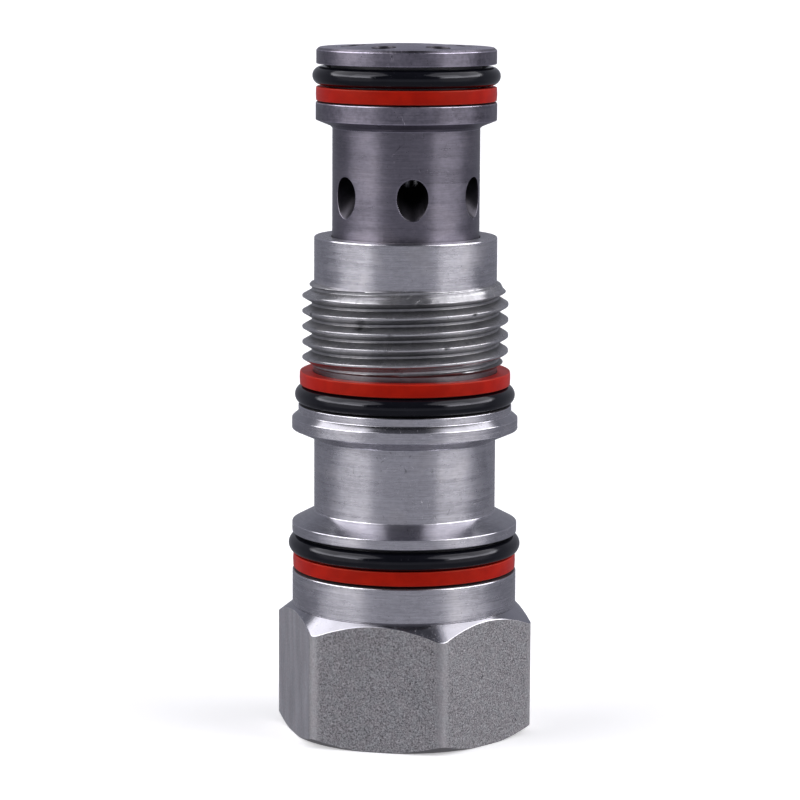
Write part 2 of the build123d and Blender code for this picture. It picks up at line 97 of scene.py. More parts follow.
# Nose sleeve and end disc
SLEEVE_R, SLEEVE_BORE_R, SLEEVE_FOOT = 7.10, 3.60, 41.50
SLEEVE_TOP = top_of("nose_sleeve")
SIDE_HOLE_Z, SIDE_HOLE_R, SIDE_HOLE_TILT = 52.16, 1.5, math.radians(40)
DISC_R, DISC_RIM_Z, DISC_UNDER_Z = 6.70, 66.30, 65.02
DISC_TOP = top_of("nose_retainer")
FACE_HOLE_R, FACE_HOLE_CIRCLE, FACE_HOLE_CHAMFER = 1.15, 5.15, 0.03
SIDE_HOLE_ANGLE = 18.4                 # degrees from -Y toward +X
FACE_HOLE_ANGLE = SIDE_HOLE_ANGLE + 30
HOLE_RIM = 0.06                        # rounding of drilled hole mouths

# Columns round the nose pieces, in degrees
NOSE_STEP, NOSE_SHIFT = 2.0, 0.4       # the shift lines columns up with the holes
NOSE_ANGLES = np.radians(np.arange(0, 360, NOSE_STEP) + NOSE_SHIFT)


# ---------------------------------------------------------------------------
# Mesh helpers: everything round is a grid of rows (along the outline) by
# columns (around the axis), with real rounded edges.
# ---------------------------------------------------------------------------
def round_outline(points, hold=0.02):
    """Rounds the corners of an open (r, z, rounding, tag) outline.

    Returns rows of (r, z, mark, tag): mark is 1 on rounded corners, tag names
    the finish of the band that follows the row."""
    rows = []
    for i, (r, z, rounding, tag) in enumerate(points):
        if i in (0, len(points) - 1) or rounding <= 0:
            rows.append((r, z, 0.0, tag))
            continue
        corner = np.array([r, z])
        back = np.array([points[i - 1][0] - r, points[i - 1][1] - z])
        ahead = np.array([points[i + 1][0] - r, points[i + 1][1] - z])
        back_length, ahead_length = np.linalg.norm(back), np.linalg.norm(ahead)
        back, ahead = back / back_length, ahead / ahead_length
        half = math.acos(max(-1, min(1, float(back @ ahead)))) / 2
        if half > math.radians(88):
            rows.append((r, z, 0.0, tag))
            continue
        trim = min(rounding / math.tan(half), 0.42 * back_length, 0.42 * ahead_length)
        arc_r = trim * math.tan(half)
        bisector = (back + ahead) / np.linalg.norm(back + ahead)
        centre = corner + bisector * (arc_r / math.sin(half))
        start, end = corner + back * trim, corner + ahead * trim
        held = min(hold, 0.2 * back_length, 0.2 * ahead_length)
        tag_before = points[i - 1][3]
        rows.append((*(start + back * held), 0.0, tag_before))
        from_c, to_c = start - centre, end - centre
        sweep = math.acos(max(-1, min(1, float(from_c @ to_c) / (arc_r * arc_r + 1e-12))))
        steps = max(3, min(7, int(sweep / math.radians(20)) + 1))
        for k in range(steps + 1):
            f = k / steps
            arm = math.sin((1 - f) * sweep) * from_c + math.sin(f * sweep) * to_c
            point = centre + arm / max(math.sin(sweep), 1e-9)
            rows.append((*point, 1.0, tag_before if k < steps / 2 else tag))
        rows.append((*(end + ahead * held), 0.0, tag))
    return rows


def fill_rows(rows, step, least=0.0):
    """Adds rows about a step apart in every band longer than least."""
    filled = []
    for row, after in zip(rows[:-1], rows[1:]):
        filled.append(row)
        length = math.hypot(after[0] - row[0], after[1] - row[1])
        extra = int(length / step) if length > least else 0
        for j in range(1, extra + 1):
            f = j / (extra + 1)
            r = row[0] + (after[0] - row[0]) * f
            z = row[1] + (after[1] - row[1]) * f
            filled.append((r, z, 0.0, row[3]))
    filled.append(rows[-1])
    return filled


def row_at(rows, r, z):
    """Index of the row at a point of the outline."""
    return min(range(len(rows)), key=lambda i: math.hypot(rows[i][0] - r, rows[i][1] - z))


def cylinder_points(radius, height, angle):
    """Points from cylindrical coordinates, which may be arrays of matching shapes."""
    radius, height, angle = np.broadcast_arrays(radius, height, angle)
    return np.stack([radius * np.cos(angle), radius * np.sin(angle), height], -1)


def lathe(rows, angles):
    """Turns outline rows into what PieceMesh.grid takes: points, marks and tags."""
    radius, height, marks = np.array([row[:3] for row in rows], float).T[..., None]
    return cylinder_points(radius, height, angles), marks, [row[3] for row in rows]


class PieceMesh:
    """Collects grids and rings of points, then welds them into one mesh."""

    def __init__(self):
        self.vertices, self.marks = [], []
        self.faces, self.face_tags = [], []
        self.tags = []

    def tag_index(self, tag):
        if tag not in self.tags:
            self.tags.append(tag)
        return self.tags.index(tag)

    def add_points(self, points, marks):
        start = len(self.vertices)
        self.vertices.extend(map(tuple, points))
        self.marks.extend(np.broadcast_to(np.asarray(marks, float), (len(points),)))
        return start

    def add_face(self, corners, tag):
        self.faces.append(corners)
        self.face_tags.append(tag)

    def grid(self, points, marks, tags, skip=(), closed=True):
        """Points are rows x columns x 3. skip lists blocks (row, row, column, column)."""
        rows, columns = points.shape[:2]
        marks = np.broadcast_to(np.asarray(marks, float), (rows, columns)).ravel()
        start = self.add_points(points.reshape(-1, 3), marks)
        cells = columns if closed else columns - 1
        hidden = np.zeros((rows - 1, cells), bool)
        for row_1, row_2, column_1, column_2 in skip:
            for j in range(column_1, column_2):
                hidden[row_1:row_2, j % cells] = True
        for i in range(rows - 1):
            tag = self.tag_index(tags[i])
            low, high = start + i * columns, start + (i + 1) * columns
            for j in range(cells):
                if not hidden[i, j]:
                    k = (j + 1) % columns
                    self.add_face((low + j, low + k, high + k, high + j), tag)

    def rings(self, loops, marks, tags):
        """Bands between closed loops of equal length, outer surface first."""
        count = len(loops[0])
        starts = [self.add_points(loop, mark) for loop, mark in zip(loops, marks)]
        for a, b, name in zip(starts[:-1], starts[1:], tags):
            tag = self.tag_index(name)
            for k in range(count):
                n = (k + 1) % count
                self.add_face((a + k, a + n, b + n, b + k), tag)

    def build(self, name, lift=DATUM):
        mesh = bpy.data.meshes.new(name)
        vertices = [(x * MM, y * MM, (z + lift) * MM) for x, y, z in self.vertices]
        mesh.from_pydata(vertices, [], self.faces)
        mesh.polygons.foreach_set("material_index", self.face_tags)
        add_attribute(mesh, "edge", self.marks)
        bm = bmesh.new()
        bm.from_mesh(mesh)
        bmesh.ops.remove_doubles(bm, verts=bm.verts, dist=2e-7)
        bmesh.ops.dissolve_degenerate(bm, edges=bm.edges, dist=1e-8)
        loose = [vertex for vertex in bm.verts if not vertex.link_faces]
        bmesh.ops.delete(bm, geom=loose, context="VERTS")
        for face in bm.faces:
            face.smooth = True
        sharp = math.radians(50)
        for edge in bm.edges:
            edge.smooth = not (len(edge.link_faces) == 2 and edge.calc_face_angle(0.0) > sharp)
        bm.to_mesh(mesh)
        bm.free()
        for tag in self.tags:
            mesh.materials.append(MATERIALS[tag])
        return add_object(name, mesh)


def add_object(name, data):
    ob = bpy.data.objects.new(name, data)
    bpy.context.scene.collection.objects.link(ob)
    return ob


def add_attribute(mesh, name, values):
    attribute = mesh.attributes.new(name, "FLOAT", "POINT")
    attribute.data.foreach_set("value", np.array(values, np.float32))


# ---------------------------------------------------------------------------
# Holes: rings of points that join the edges of two blocks left open in a grid
# ---------------------------------------------------------------------------
def block_loop(points, block, flip=False):
    """Points round the edge of a block, starting at its first column and going up."""
    row_1, row_2, column_1, column_2 = block
    columns = points.shape[1]
    a, b = (row_2, row_1) if flip else (row_1, row_2)
    step = -1 if flip else 1
    loop = [points[a, j % columns] for j in range(column_1, column_2)]
    loop += [points[i, column_2 % columns] for i in range(a, b, step)]
    loop += [points[b, j % columns] for j in range(column_2, column_1, -1)]
    loop += [points[i, column_1 % columns] for i in range(b, a, -step)]
    return np.array(loop)


def compass(theta):
    """Unit vectors outward and sideways at an angle round the axis."""
    outward = np.array([math.cos(theta), math.sin(theta), 0.0])
    sideways = np.array([-math.sin(theta), math.cos(theta), 0.0])
    return outward, sideways


def six_holes(first_angle, half_width):
    """Angle and column span of six holes, 60 degrees apart, in a nose piece."""
    holes = []
    for k in range(6):
        angle = (first_angle + 60 * k - 90) % 360
        middle = int(round((angle - NOSE_SHIFT) / NOSE_STEP))
        holes.append((math.radians(angle), (middle - half_width, middle + half_width)))
    return holes


def drilled_hole(mesh, outside, outer_block, inside, inner_block, *,
                 theta, height, tilt, radius, outer_r, inner_r, tags):
    """A round hole through a tube wall, its axis tilted in the upright plane."""
    outward, sideways = compass(theta)
    up = np.array([0.0, 0.0, 1.0])
    axis = math.cos(tilt) * outward - math.sin(tilt) * up
    across = math.sin(tilt) * outward + math.cos(tilt) * up
    origin = outward * outer_r + up * height
    loop = block_loop(outside, outer_block)
    turn = np.arctan2(loop[:, 1], loop[:, 0]) - theta
    turn = (turn + math.pi) % (2 * math.pi) - math.pi
    rise = (loop - origin)[:, 2] * math.cos(tilt)
    clock = np.unwrap(np.arctan2(rise, turn * outer_r))[:, None]

    def meet(circle_r, surface_r):
        """A circle square to the axis, and the distances along it to a cylinder."""
        circle = origin + circle_r * (np.cos(clock) * sideways + np.sin(clock) * across)
        a = axis[0] ** 2 + axis[1] ** 2
        b = 2 * (circle[:, 0] * axis[0] + circle[:, 1] * axis[1])
        c = circle[:, 0] ** 2 + circle[:, 1] ** 2 - surface_r ** 2
        return circle, (-b + np.sqrt(np.maximum(b * b - 4 * a * c, 0))) / (2 * a)

    def ring(circle_r, surface_r, back=0.0):
        circle, distance = meet(circle_r, surface_r)
        return circle + (distance - back)[:, None] * axis

    def unroll(points):
        return np.stack([np.unwrap(np.arctan2(points[:, 1], points[:, 0])), points[:, 2]], -1)

    def between(start, end, f, surface_r):
        a, b = unroll(start), unroll(end)
        b[:, 0] += np.round((a[:, 0] - b[:, 0]) / (2 * math.pi)) * 2 * math.pi
        mixed = a + (b - a) * f
        return cylinder_points(surface_r, mixed[:, 1], mixed[:, 0])

    rim = HOLE_RIM
    mouth = ring(radius + rim, outer_r)
    loops = [loop]
    loops += [between(loop, mouth, f, outer_r) for f in (0.35, 0.62, 0.82, 0.93)]
    loops.append(mouth)
    # rounded rim: share of the rim outside the hole, and share below the surface
    for wide, deep in ((0.62, 0.07), (0.3, 0.3), (0.07, 0.62), (0, 1)):
        loops.append(ring(radius + rim * wide, outer_r, rim * deep))
    circle, start = meet(radius, outer_r)
    end = meet(radius, inner_r)[1]
    for f in (0.08, 0.25, 0.5, 0.75, 0.92):
        distance = (start - rim) + ((end + rim * 0.5) - (start - rim)) * f
        loops.append(circle + distance[:, None] * axis)
    loops += [ring(radius, inner_r, -rim * 0.5), ring(radius + rim * 0.5, inner_r)]
    inner_loop = block_loop(inside, inner_block, flip=True)
    exit_ring = loops[-1]
    loops += [between(exit_ring, inner_loop, 0.3, inner_r),
              between(exit_ring, inner_loop, 0.65, inner_r), inner_loop]
    marks = [0.0] * 5 + [0.5, 1.0, 1.0, 1.0, 0.4] + [0.0] * 5 + [0.3, 0.3] + [0.0] * 3
    tag_out, tag_hole, tag_in = tags
    mesh.rings(loops, marks, [tag_out] * 7 + [tag_hole] * 8 + [tag_in] * 4)


def crown_z(r):
    """Height of the end disc's domed top at a radius."""
    rise = DISC_TOP - DISC_RIM_Z
    dome_r = (DISC_R ** 2 + rise ** 2) / (2 * rise)
    return DISC_TOP - dome_r + np.sqrt(dome_r * dome_r - np.asarray(r) ** 2)


def face_hole(mesh, points, top_block, under_block, theta):
    """An upright round hole through the crowned disc, with a small chamfer."""
    outward, sideways = compass(theta)
    origin = outward * FACE_HOLE_CIRCLE
    loop = block_loop(points, top_block)
    reach = loop - origin
    clock = np.unwrap(np.arctan2(-(reach @ outward), reach @ sideways))[:, None]
    radius, chamfer = FACE_HOLE_R, FACE_HOLE_CHAMFER

    def on_crown(ring, below=0.0):
        ring[:, 2] = crown_z(np.hypot(ring[:, 0], ring[:, 1])) - below
        return ring

    def circle(circle_r, z=0.0):
        ring = origin + circle_r * (np.cos(clock) * sideways - np.sin(clock) * outward)
        ring[:, 2] = z
        return ring

    mouth = on_crown(circle(radius + chamfer + 0.03))
    loops = [loop] + [on_crown(loop + (mouth - loop) * f) for f in (0.4, 0.75)] + [mouth]
    # chamfer: extra radius, and depth below the crown
    for extra, below in ((chamfer, 0.008), (chamfer * 0.45, chamfer * 0.5),
                         (0.01, chamfer * 0.98), (0.0, chamfer + 0.04)):
        loops.append(on_crown(circle(radius + extra), below))
    wall_top, wall_foot = loops[-1], DISC_UNDER_Z + 0.05
    for f in (0.2, 0.6):
        ring = wall_top.copy()
        ring[:, 2] += (wall_foot - ring[:, 2]) * f
        loops.append(ring)
    exit_ring = circle(radius + 0.05, DISC_UNDER_Z)
    under_loop = block_loop(points, under_block, flip=True)
    loops += [circle(radius, wall_foot), exit_ring,
              exit_ring + (under_loop - exit_ring) * 0.5, under_loop]
    marks = [0.0, 0.0, 0.0, 0.2, 0.4, 0.2] + [0.0] * 8
    mesh.rings(loops, marks, ["disc"] * 3 + ["drill"] * 7 + ["inner"] * 3)


def value_noise(seed, u, v, period_u):
    """Smooth noise on a sheet that repeats along u; u and v are in cells."""
    period_v = 97
    table = np.random.default_rng(seed).uniform(-1, 1, (period_u, period_v))
    u0, v0 = np.floor(u).astype(int), np.floor(v).astype(int)
    fu, fv = u - u0, v - v0
    fu, fv = fu * fu * (3 - 2 * fu), fv * fv * (3 - 2 * fv)
    left, right = u0 % period_u, (u0 + 1) % period_u
    low, high = v0 % period_v, (v0 + 1) % period_v
    below = table[left, low] * (1 - fu) + table[right, low] * fu
    above = table[left, high] * (1 - fu) + table[right, high] * fu
    return below * (1 - fv) + above * fv


# ---------------------------------------------------------------------------
# Shader graphs
# ---------------------------------------------------------------------------
class Value:
    """A shader socket; arithmetic with it adds Math nodes to its graph."""

    def __init__(self, graph, socket):
        self.graph, self.socket = graph, socket

    def __add__(self, other):
        return self.graph.math("ADD", self, other)

    def __radd__(self, other):
        return self.graph.math("ADD", other, self)

    def __sub__(self, other):
        return self.graph.math("SUBTRACT", self, other)

    def __rsub__(self, other):
        return self.graph.math("SUBTRACT", other, self)

    def __mul__(self, other):
        return self.graph.math("MULTIPLY", self, other)

    def __truediv__(self, other):
        return self.graph.math("DIVIDE", self, other)


class Graph:
    """Adds nodes to a node tree; each method returns the new node's output."""

    def __init__(self, tree):
        self.nodes, self.links = tree.nodes, tree.links
        self.nodes.clear()

    def put(self, socket, value):
        if isinstance(value, Value):
            self.links.new(value.socket, socket)
        else:
            socket.default_value = value

    def node(self, kind, inputs=None, **settings):
        """Adds a node with its settings, and inputs by name or index."""
        node = self.nodes.new(kind)
        for key, setting in settings.items():
            setattr(node, key, setting)
        self.set_inputs(node, inputs or {})
        return node

    def set_inputs(self, node, inputs):
        for key, value in inputs.items():
            self.put(node.inputs[key], value)

    def out(self, node, key=0):
        return Value(self, node.outputs[key])

    def math(self, operation, a, b=None, clamp=False):
        inputs = {0: a} if b is None else {0: a, 1: b}
        return self.out(self.node("ShaderNodeMath", inputs,
                                  operation=operation, use_clamp=clamp))

    def scaled(self, vector, factor):
        return self.out(self.node("ShaderNodeVectorMath", {0: vector, "Scale": factor},
                                  operation="SCALE"))

    def combine(self, x, y, z):
        return self.out(self.node("ShaderNodeCombineXYZ", {0: x, 1: y, 2: z}))

    def separate(self, vector):
        node = self.node("ShaderNodeSeparateXYZ", {0: vector})
        return [self.out(node, k) for k in range(3)]

    def noise(self, vector, scale, detail=2.0, rough=0.5):
        return self.out(self.node("ShaderNodeTexNoise", {
            "Vector": vector, "Scale": scale, "Detail": detail, "Roughness": rough,
            "Distortion": 0.0}), "Fac")

    def stretched(self, x, y, z, across, along, detail, rough):
        """Noise with its own frequencies across (x, y) and along z."""
        vector = self.combine(x * across, y * across, z * along)
        return self.noise(vector, scale=1.0, detail=detail, rough=rough)

    def cells(self, vector, scale):
        return self.out(self.node("ShaderNodeTexVoronoi", {"Vector": vector, "Scale": scale},
                                  feature="F1"), "Distance")

    def step(self, value, low, high, start=0.0, end=1.0):
        """Goes smoothly from start to end as the value goes from low to high."""
        return self.out(self.node("ShaderNodeMapRange", {
            "Value": value, "From Min": low, "From Max": high, "To Min": start, "To Max": end},
            interpolation_type="SMOOTHSTEP", clamp=True), "Result")

    def mix(self, factor, a, b, mode="MIX"):
        return self.out(self.node("ShaderNodeMix", {0: factor, 6: a, 7: b},
                                  data_type="RGBA", blend_type=mode), 2)

    def tinted(self, a, b):
        return self.mix(1.0, a, b, "MULTIPLY")

    def mix_value(self, factor, a, b):
        return self.out(self.node("ShaderNodeMix", {0: factor, 2: a, 3: b},
                                  data_type="FLOAT"))

    def gray(self, value):
        return self.combine(value, value, value)

    def attribute(self, name):
        return self.out(self.node("ShaderNodeAttribute", attribute_name=name), "Fac")

    def bump(self, height, depth, strength):
        """Bump normal; the depth is in mm."""
        return self.out(self.node("ShaderNodeBump", {
            "Strength": strength, "Distance": depth * MM, "Height": height}))

    def polar(self, point):
        """Unit direction round the axis (x, y), radius and height, in mm."""
        x, y, z = self.separate(point)
        radius = self.math("SQRT", x * x + y * y)
        safe = self.math("MAXIMUM", radius, 0.05)
        return x / safe, y / safe, radius, z


def new_material(name, color, rough):
    """A Principled material: returns it with its graph, shader and position in mm."""
    material = bpy.data.materials.new(name)
    material.use_nodes = True
    material.diffuse_color = (*color, 1.0)
    g = Graph(material.node_tree)
    output = g.node("ShaderNodeOutputMaterial")
    shader = g.node("ShaderNodeBsdfPrincipled",
                    {"Base Color": (*color, 1.0), "Roughness": rough})
    g.links.new(shader.outputs[0], output.inputs[0])
    point = g.scaled(g.out(g.node("ShaderNodeTexCoord"), "Object"), 1000.0)
    return material, g, shader, point


# ---------------------------------------------------------------------------
# Materials
# ---------------------------------------------------------------------------
def scratches(g, arc, z, cos, sin, along, cross, seed, gate):
    """Sparse thin strokes on the unrolled wall, in the direction (cos, sin).

    along and cross are frequencies; a higher gate leaves fewer strokes."""
    u = arc * cos + z * sin
    v = z * cos - arc * sin
    field = g.noise(g.combine(u * along, v * cross, seed), scale=1.0, detail=0.0, rough=0.0)
    thin = g.step(g.math("ABSOLUTE", field - 0.5), 0.0, 0.010, start=1.0, end=0.0)
    areas = g.noise(g.combine(arc, z, seed + 7.0), scale=0.55, detail=1.0, rough=0.5)
    return thin * g.step(areas, gate, gate + 0.06)


def steel(name, color, rough, aniso=0.45, line=1.0, patch=1.0, speck=1.0, scratch=1.0,
          edge_gain=0.25, bump=1.0, corner_shade=0.35, shade=0.9, metal=1.0):
    """Turned steel: lines run round the axis, with nicks, specks and haze.

    line, patch, speck, scratch, edge_gain, corner_shade and bump are strengths; corner_shade
    darkens corners and creases with painted shade, and shade is the reach, in mm, of that painted
    shade."""
    material, g, shader, point = new_material(name, color, rough)
    unit_x, unit_y, radius, z = g.polar(point)
    profile = z + radius * 0.83        # changes along flat faces and upright walls alike
    fine = g.stretched(unit_x, unit_y, profile, across=1.3, along=11.0, detail=3.0, rough=0.65)
    wide = g.stretched(unit_x, unit_y, profile, across=0.7, along=2.6, detail=2.0, rough=0.5)
    haze = g.noise(point, scale=0.32, detail=3.0, rough=0.55)
    mottle = g.noise(point, scale=2.4, detail=3.0, rough=0.6)
    pits = g.step(g.noise(point, scale=7.5, detail=1.0), 0.69, 0.76)
    pits = pits * g.step(g.noise(point, scale=0.9, detail=1.0), 0.5, 0.62)
    arc = g.math("ARCTAN2", unit_y, unit_x) * 9.0
    scored = g.math(
        "MAXIMUM",
        scratches(g, arc, z, cos=0.80, sin=0.60, along=0.35, cross=1.6, seed=1.7, gate=0.56),
        scratches(g, arc, z, cos=0.35, sin=-0.94, along=0.45, cross=1.9, seed=5.2, gate=0.58))
    # rounded edges are brightened in colour: partly rubbed edges, partly painted highlight
    edge = g.attribute("edge")
    # the nicks in the thread get a darker colour
    nick_dark = g.attribute("nick_dark")
    # painted shade: the colour darkens in corners, creases and grooves that ambient occlusion
    # finds
    occlusion = g.node("ShaderNodeAmbientOcclusion", {"Distance": shade * MM}, samples=6)
    corner_shade_mask = g.step(g.out(occlusion, "AO"), 0.25, 0.95, start=1.0, end=0.0)
    dash = g.stretched(unit_x, unit_y, profile, across=9.0, along=7.0, detail=3.0, rough=0.6)

    # brightness: lines and patches are added; flaws, the painted corner shade and the edge
    # brightening are multiplied in
    light = (1.0 + (fine - 0.5) * (0.50 * line) + (dash - 0.5) * (0.55 * line)
             + (wide - 0.5) * (0.34 * line)
             + (haze - 0.5) * (0.22 * patch) + (mottle - 0.5) * (0.16 * patch))
    light = (light * (1.0 - pits * (0.55 * speck)) * (1.0 - scored * (0.35 * scratch))
             * (1.0 - corner_shade_mask * corner_shade) * (1.0 + edge * edge_gain) * (1.0 - nick_dark * 0.88))
    base = g.tinted((*color, 1.0), g.gray(light))
    warm = g.mix(g.step(haze, 0.52, 0.66) * 0.25, (1, 1, 1, 1), (1.03, 1.0, 0.93, 1))
    base = g.tinted(base, warm)

    scored_depth = min(scratch, 1.0)
    gloss = (rough + (wide - 0.5) * 0.16 + (haze - 0.5) * 0.18 + corner_shade_mask * 0.18
             + scored * (0.10 * scored_depth))
    gloss = g.math("SUBTRACT", gloss, edge * 0.05, clamp=True)
    height = (fine * 0.7 + wide * 0.5 + dash * 0.5 - pits * 1.2 - scored * scored_depth
              + mottle * 0.4)
    tangent = g.node("ShaderNodeTangent", direction_type="RADIAL", axis="Z")
    g.set_inputs(shader, {
        "Base Color": base,
        "Metallic": metal,
        "Roughness": gloss,
        "Anisotropic": aniso,
        "Anisotropic Rotation": 0.25,
        "Tangent": g.out(tangent),
        "Normal": g.bump(height, depth=0.011 * bump, strength=0.6),
    })
    return material


def grained(name, color, rough):
    """Blasted hex flats: fine dark and light grain with small pits.

    The smooth and wear attributes calm the grain; wear also adds upright streaks."""
    material, g, shader, point = new_material(name, color, rough)
    grain = g.noise(point, scale=5.6, detail=3.0, rough=0.62)
    fine = g.noise(point, scale=10.5, detail=2.0, rough=0.6)
    cells = g.cells(point, scale=5.0)
    haze = g.noise(point, scale=0.22, detail=2.0, rough=0.5)
    pits = g.step(g.noise(point, scale=3.1, detail=1.0), 0.66, 0.74)
    smooth = g.attribute("smooth")
    worn = g.attribute("wear")
    calm = g.math("MAXIMUM", smooth * 0.62, worn * 0.74)
    x, y, z = g.separate(point)
    thin_streaks = g.stretched(x, y, z, across=5.0, along=0.16, detail=2.0, rough=0.6)

    light = 1.0 + (grain - 0.5) * 2.2 + (fine - 0.5) * 2.0 + (cells - 0.42) * 0.45
    light = g.math("MAXIMUM", light, 0.25) * (1.0 - pits * 0.35)
    light = (light - 1.0) * (1.0 - calm) + 1.0
    wide_streaks = g.stretched(x, y, z, across=0.9, along=0.16, detail=3.0, rough=0.55)
    streaks = thin_streaks * 0.22 + wide_streaks * 0.78
    light = light + (streaks - 0.5) * worn * 0.85
    light = light * (0.92 + haze * 0.16) * (1.0 + (worn * 0.74 + smooth * 0.22))
    base = g.tinted((*color, 1.0), g.gray(light))
    patches = g.step(g.noise(point, scale=1.3, detail=2.0, rough=0.6), 0.4, 0.62)
    base = g.tinted(base, g.mix(patches, (1.0, 0.985, 0.985, 1), (0.985, 1.0, 1.0, 1)))

    height = grain * 1.0 + fine * 0.55 - pits * 0.35
    height = height * (1.0 - calm * 1.0)
    g.set_inputs(shader, {
        "Base Color": base,
        "Metallic": 1.0,
        "Roughness": rough + (grain - 0.5) * 0.25 - worn * 0.14 + smooth * 0.12,
        "Normal": g.bump(height, depth=0.050, strength=0.9),
    })
    return material


def rubber(name):
    """Glossy black rubber with a little dust."""
    material, g, shader, point = new_material(name, color=(0.004, 0.004, 0.005), rough=0.17)
    swell = g.noise(point, scale=0.8, detail=3.0, rough=0.6)
    fine = g.noise(point, scale=9.0, detail=2.0, rough=0.5)
    dust = g.step(g.noise(point, scale=7.0, detail=1.0), 0.74, 0.80)
    base = g.mix(dust, (0.0030, 0.0032, 0.0055, 1), (0.03, 0.031, 0.036, 1))
    base = g.mix(g.step(swell, 0.45, 0.7), base, (0.005, 0.005, 0.008, 1))
    g.set_inputs(shader, {
        "Specular Tint": (0.92, 0.92, 1.0, 1.0),
        "Base Color": base,
        "Roughness": 0.05 + swell * 0.06 + dust * 0.3,
        "IOR": 1.43,
        "Normal": g.bump(swell * 1.0 + fine * 0.10, depth=0.03, strength=0.5),
    })
    return material


def red_ring(name):
    """Red backup rings: the rounded edges are paler as painted sheen, and the rings are slightly
    rubbed round the axis.
    """
    material, g, shader, point = new_material(name, color=(0.42, 0.012, 0.006), rough=0.42)
    unit_x, unit_y, _, z = g.polar(point)
    broad = g.noise(point, scale=0.5, detail=3.0, rough=0.55)
    fine = g.noise(point, scale=8.0, detail=3.0, rough=0.6)
    rubbed = g.stretched(unit_x, unit_y, z, across=5.0, along=7.0, detail=2.0, rough=0.5)
    edge = g.attribute("edge")
    base = g.mix(g.step(broad, 0.35, 0.68), (0.38, 0.0060, 0.0016, 1), (0.47, 0.010, 0.0026, 1))
    base = g.mix(g.step(fine, 0.55, 0.75) * 0.35, base, (0.28, 0.006, 0.003, 1))
    # painted sheen: the rounded edges are mixed toward a paler, pinkish red
    base = g.mix(edge * 0.40, base, (0.52, 0.040, 0.022, 1))
    g.set_inputs(shader, {
        "Base Color": base,
        "Roughness": 0.26 + rubbed * 0.16,
        "IOR": 1.40,
        "Specular Tint": (1.0, 0.42, 0.28, 1.0),
        "Subsurface Weight": 0.12,
        "Subsurface Radius": (0.4 * MM, 0.05 * MM, 0.03 * MM),
        "Subsurface Scale": 1.0,
        "Normal": g.bump(fine * 0.5 + rubbed * 0.5, depth=0.012, strength=0.5),
    })
    return material


PLATE = (0.575, 0.562, 0.605)
MATERIALS = {
    "turned": steel("plated_turned", color=PLATE, rough=0.27, aniso=0.75, line=1.1, patch=2.0,
                    speck=1.3, scratch=0.12),
    "neck": steel("plated_neck", color=PLATE, rough=0.28, aniso=0.75, patch=2.0, scratch=1.4,
                  speck=1.3),
    "flange": steel("plated_flange", color=(0.60, 0.59, 0.64), rough=0.17, aniso=0.3, line=0.7,
                    patch=0.8, speck=0.6, scratch=0.0, corner_shade=0.5),
    "endface": steel("hex_end", color=(0.40, 0.378, 0.36), rough=0.42, aniso=0.3, line=0.9,
                     patch=1.5, scratch=0.0),
    "cone": steel("plated_cone", color=(0.60, 0.59, 0.645), rough=0.13, aniso=0.2, line=0.4,
                  speck=0.8, patch=0.6, scratch=0.0, corner_shade=0.5),
    "thread": steel("plated_thread", color=(0.475, 0.470, 0.488), rough=0.26, aniso=0.4,
                    patch=2.4, speck=2.0, edge_gain=0.10, corner_shade=0.74, shade=1.1, metal=0.92,
                    bump=1.6),
    "groove": steel("plated_groove", color=(0.46, 0.45, 0.48), rough=0.30, aniso=0.6, line=0.8,
                    corner_shade=0.6),
    "undercut": steel("plated_undercut", color=(0.30, 0.29, 0.31), rough=0.24, aniso=0.6,
                      line=0.8, corner_shade=0.7),
    "bore": steel("bored_steel", color=(0.30, 0.295, 0.32), rough=0.36, corner_shade=0.6),
    "hexflat": grained("hex_grain", color=(0.385, 0.374, 0.384), rough=0.54),
    "sleeve": steel("sleeve_satin", color=(0.232, 0.216, 0.258), rough=0.32, aniso=0.70,
                    line=0.9, patch=2.2, speck=1.3, scratch=0.8, edge_gain=0.6),
    "land": steel("sleeve_land", color=(0.240, 0.222, 0.268), rough=0.33, aniso=0.40, line=0.9,
                  patch=5.0, speck=2.2, edge_gain=1.0, bump=1.6),
    # drilled hole walls: the very dark colour is painted shade inside the holes
    "drill": steel("drilled_wall", color=(0.10, 0.094, 0.11), rough=0.38, aniso=0.0, line=0.4,
                   patch=2.0, corner_shade=0.6),
    "disc": steel("disc_face", color=(0.56, 0.535, 0.65), rough=0.32, aniso=0.2, patch=3.6,
                  speck=2.0, scratch=0.0, edge_gain=0.35, bump=1.5),
    "inner": steel("ground_steel", color=(0.34, 0.34, 0.355), rough=0.34, aniso=0.3, line=0.6),
    "spring": steel("spring_wire", color=(0.30, 0.30, 0.32), rough=0.30, aniso=0.0, line=0.3),
    "rubber": rubber("oring_rubber"),
    "red": red_ring("backup_red"),
}


# ---------------------------------------------------------------------------
# Threaded body with the hex
# ---------------------------------------------------------------------------
def body_angles():
    """Even columns, with more of them close to the hex corners."""
    angles = set(np.round(np.arange(0, 360, 1.5), 4))
    for k in range(6):
        for offset in (0.37, 0.75, 1.1, 1.85, 2.25, 2.6, 2.85, 3.1, 3.5, 4.5):
            for side in (-1, 1):
                angles.add(round((60 * k + side * offset) % 360, 4))
    return np.radians(np.array(sorted(angles)))


def hex_radius(angles):
    """Radius of the hex with rounded corners, at each column."""
    degrees = np.degrees(angles)
    from_corner = np.radians((degrees + 30) % 60 - 30)
    from_flat = np.radians((degrees % 60) - 30)
    centre_r = (HEX_HALF_FLATS - HEX_CORNER_ROUND) / math.cos(math.radians(30))
    flat_limit = math.atan(centre_r * 0.5 / HEX_HALF_FLATS)
    chord = HEX_CORNER_ROUND ** 2 - (centre_r * np.sin(from_corner)) ** 2
    corner = centre_r * np.cos(from_corner) + np.sqrt(np.maximum(chord, 0))
    flat = HEX_HALF_FLATS / np.cos(from_flat)
    return np.where(np.abs(from_flat) <= flat_limit, flat, corner)


BODY_ANGLES = body_angles()
HEX_R = hex_radius(BODY_ANGLES)

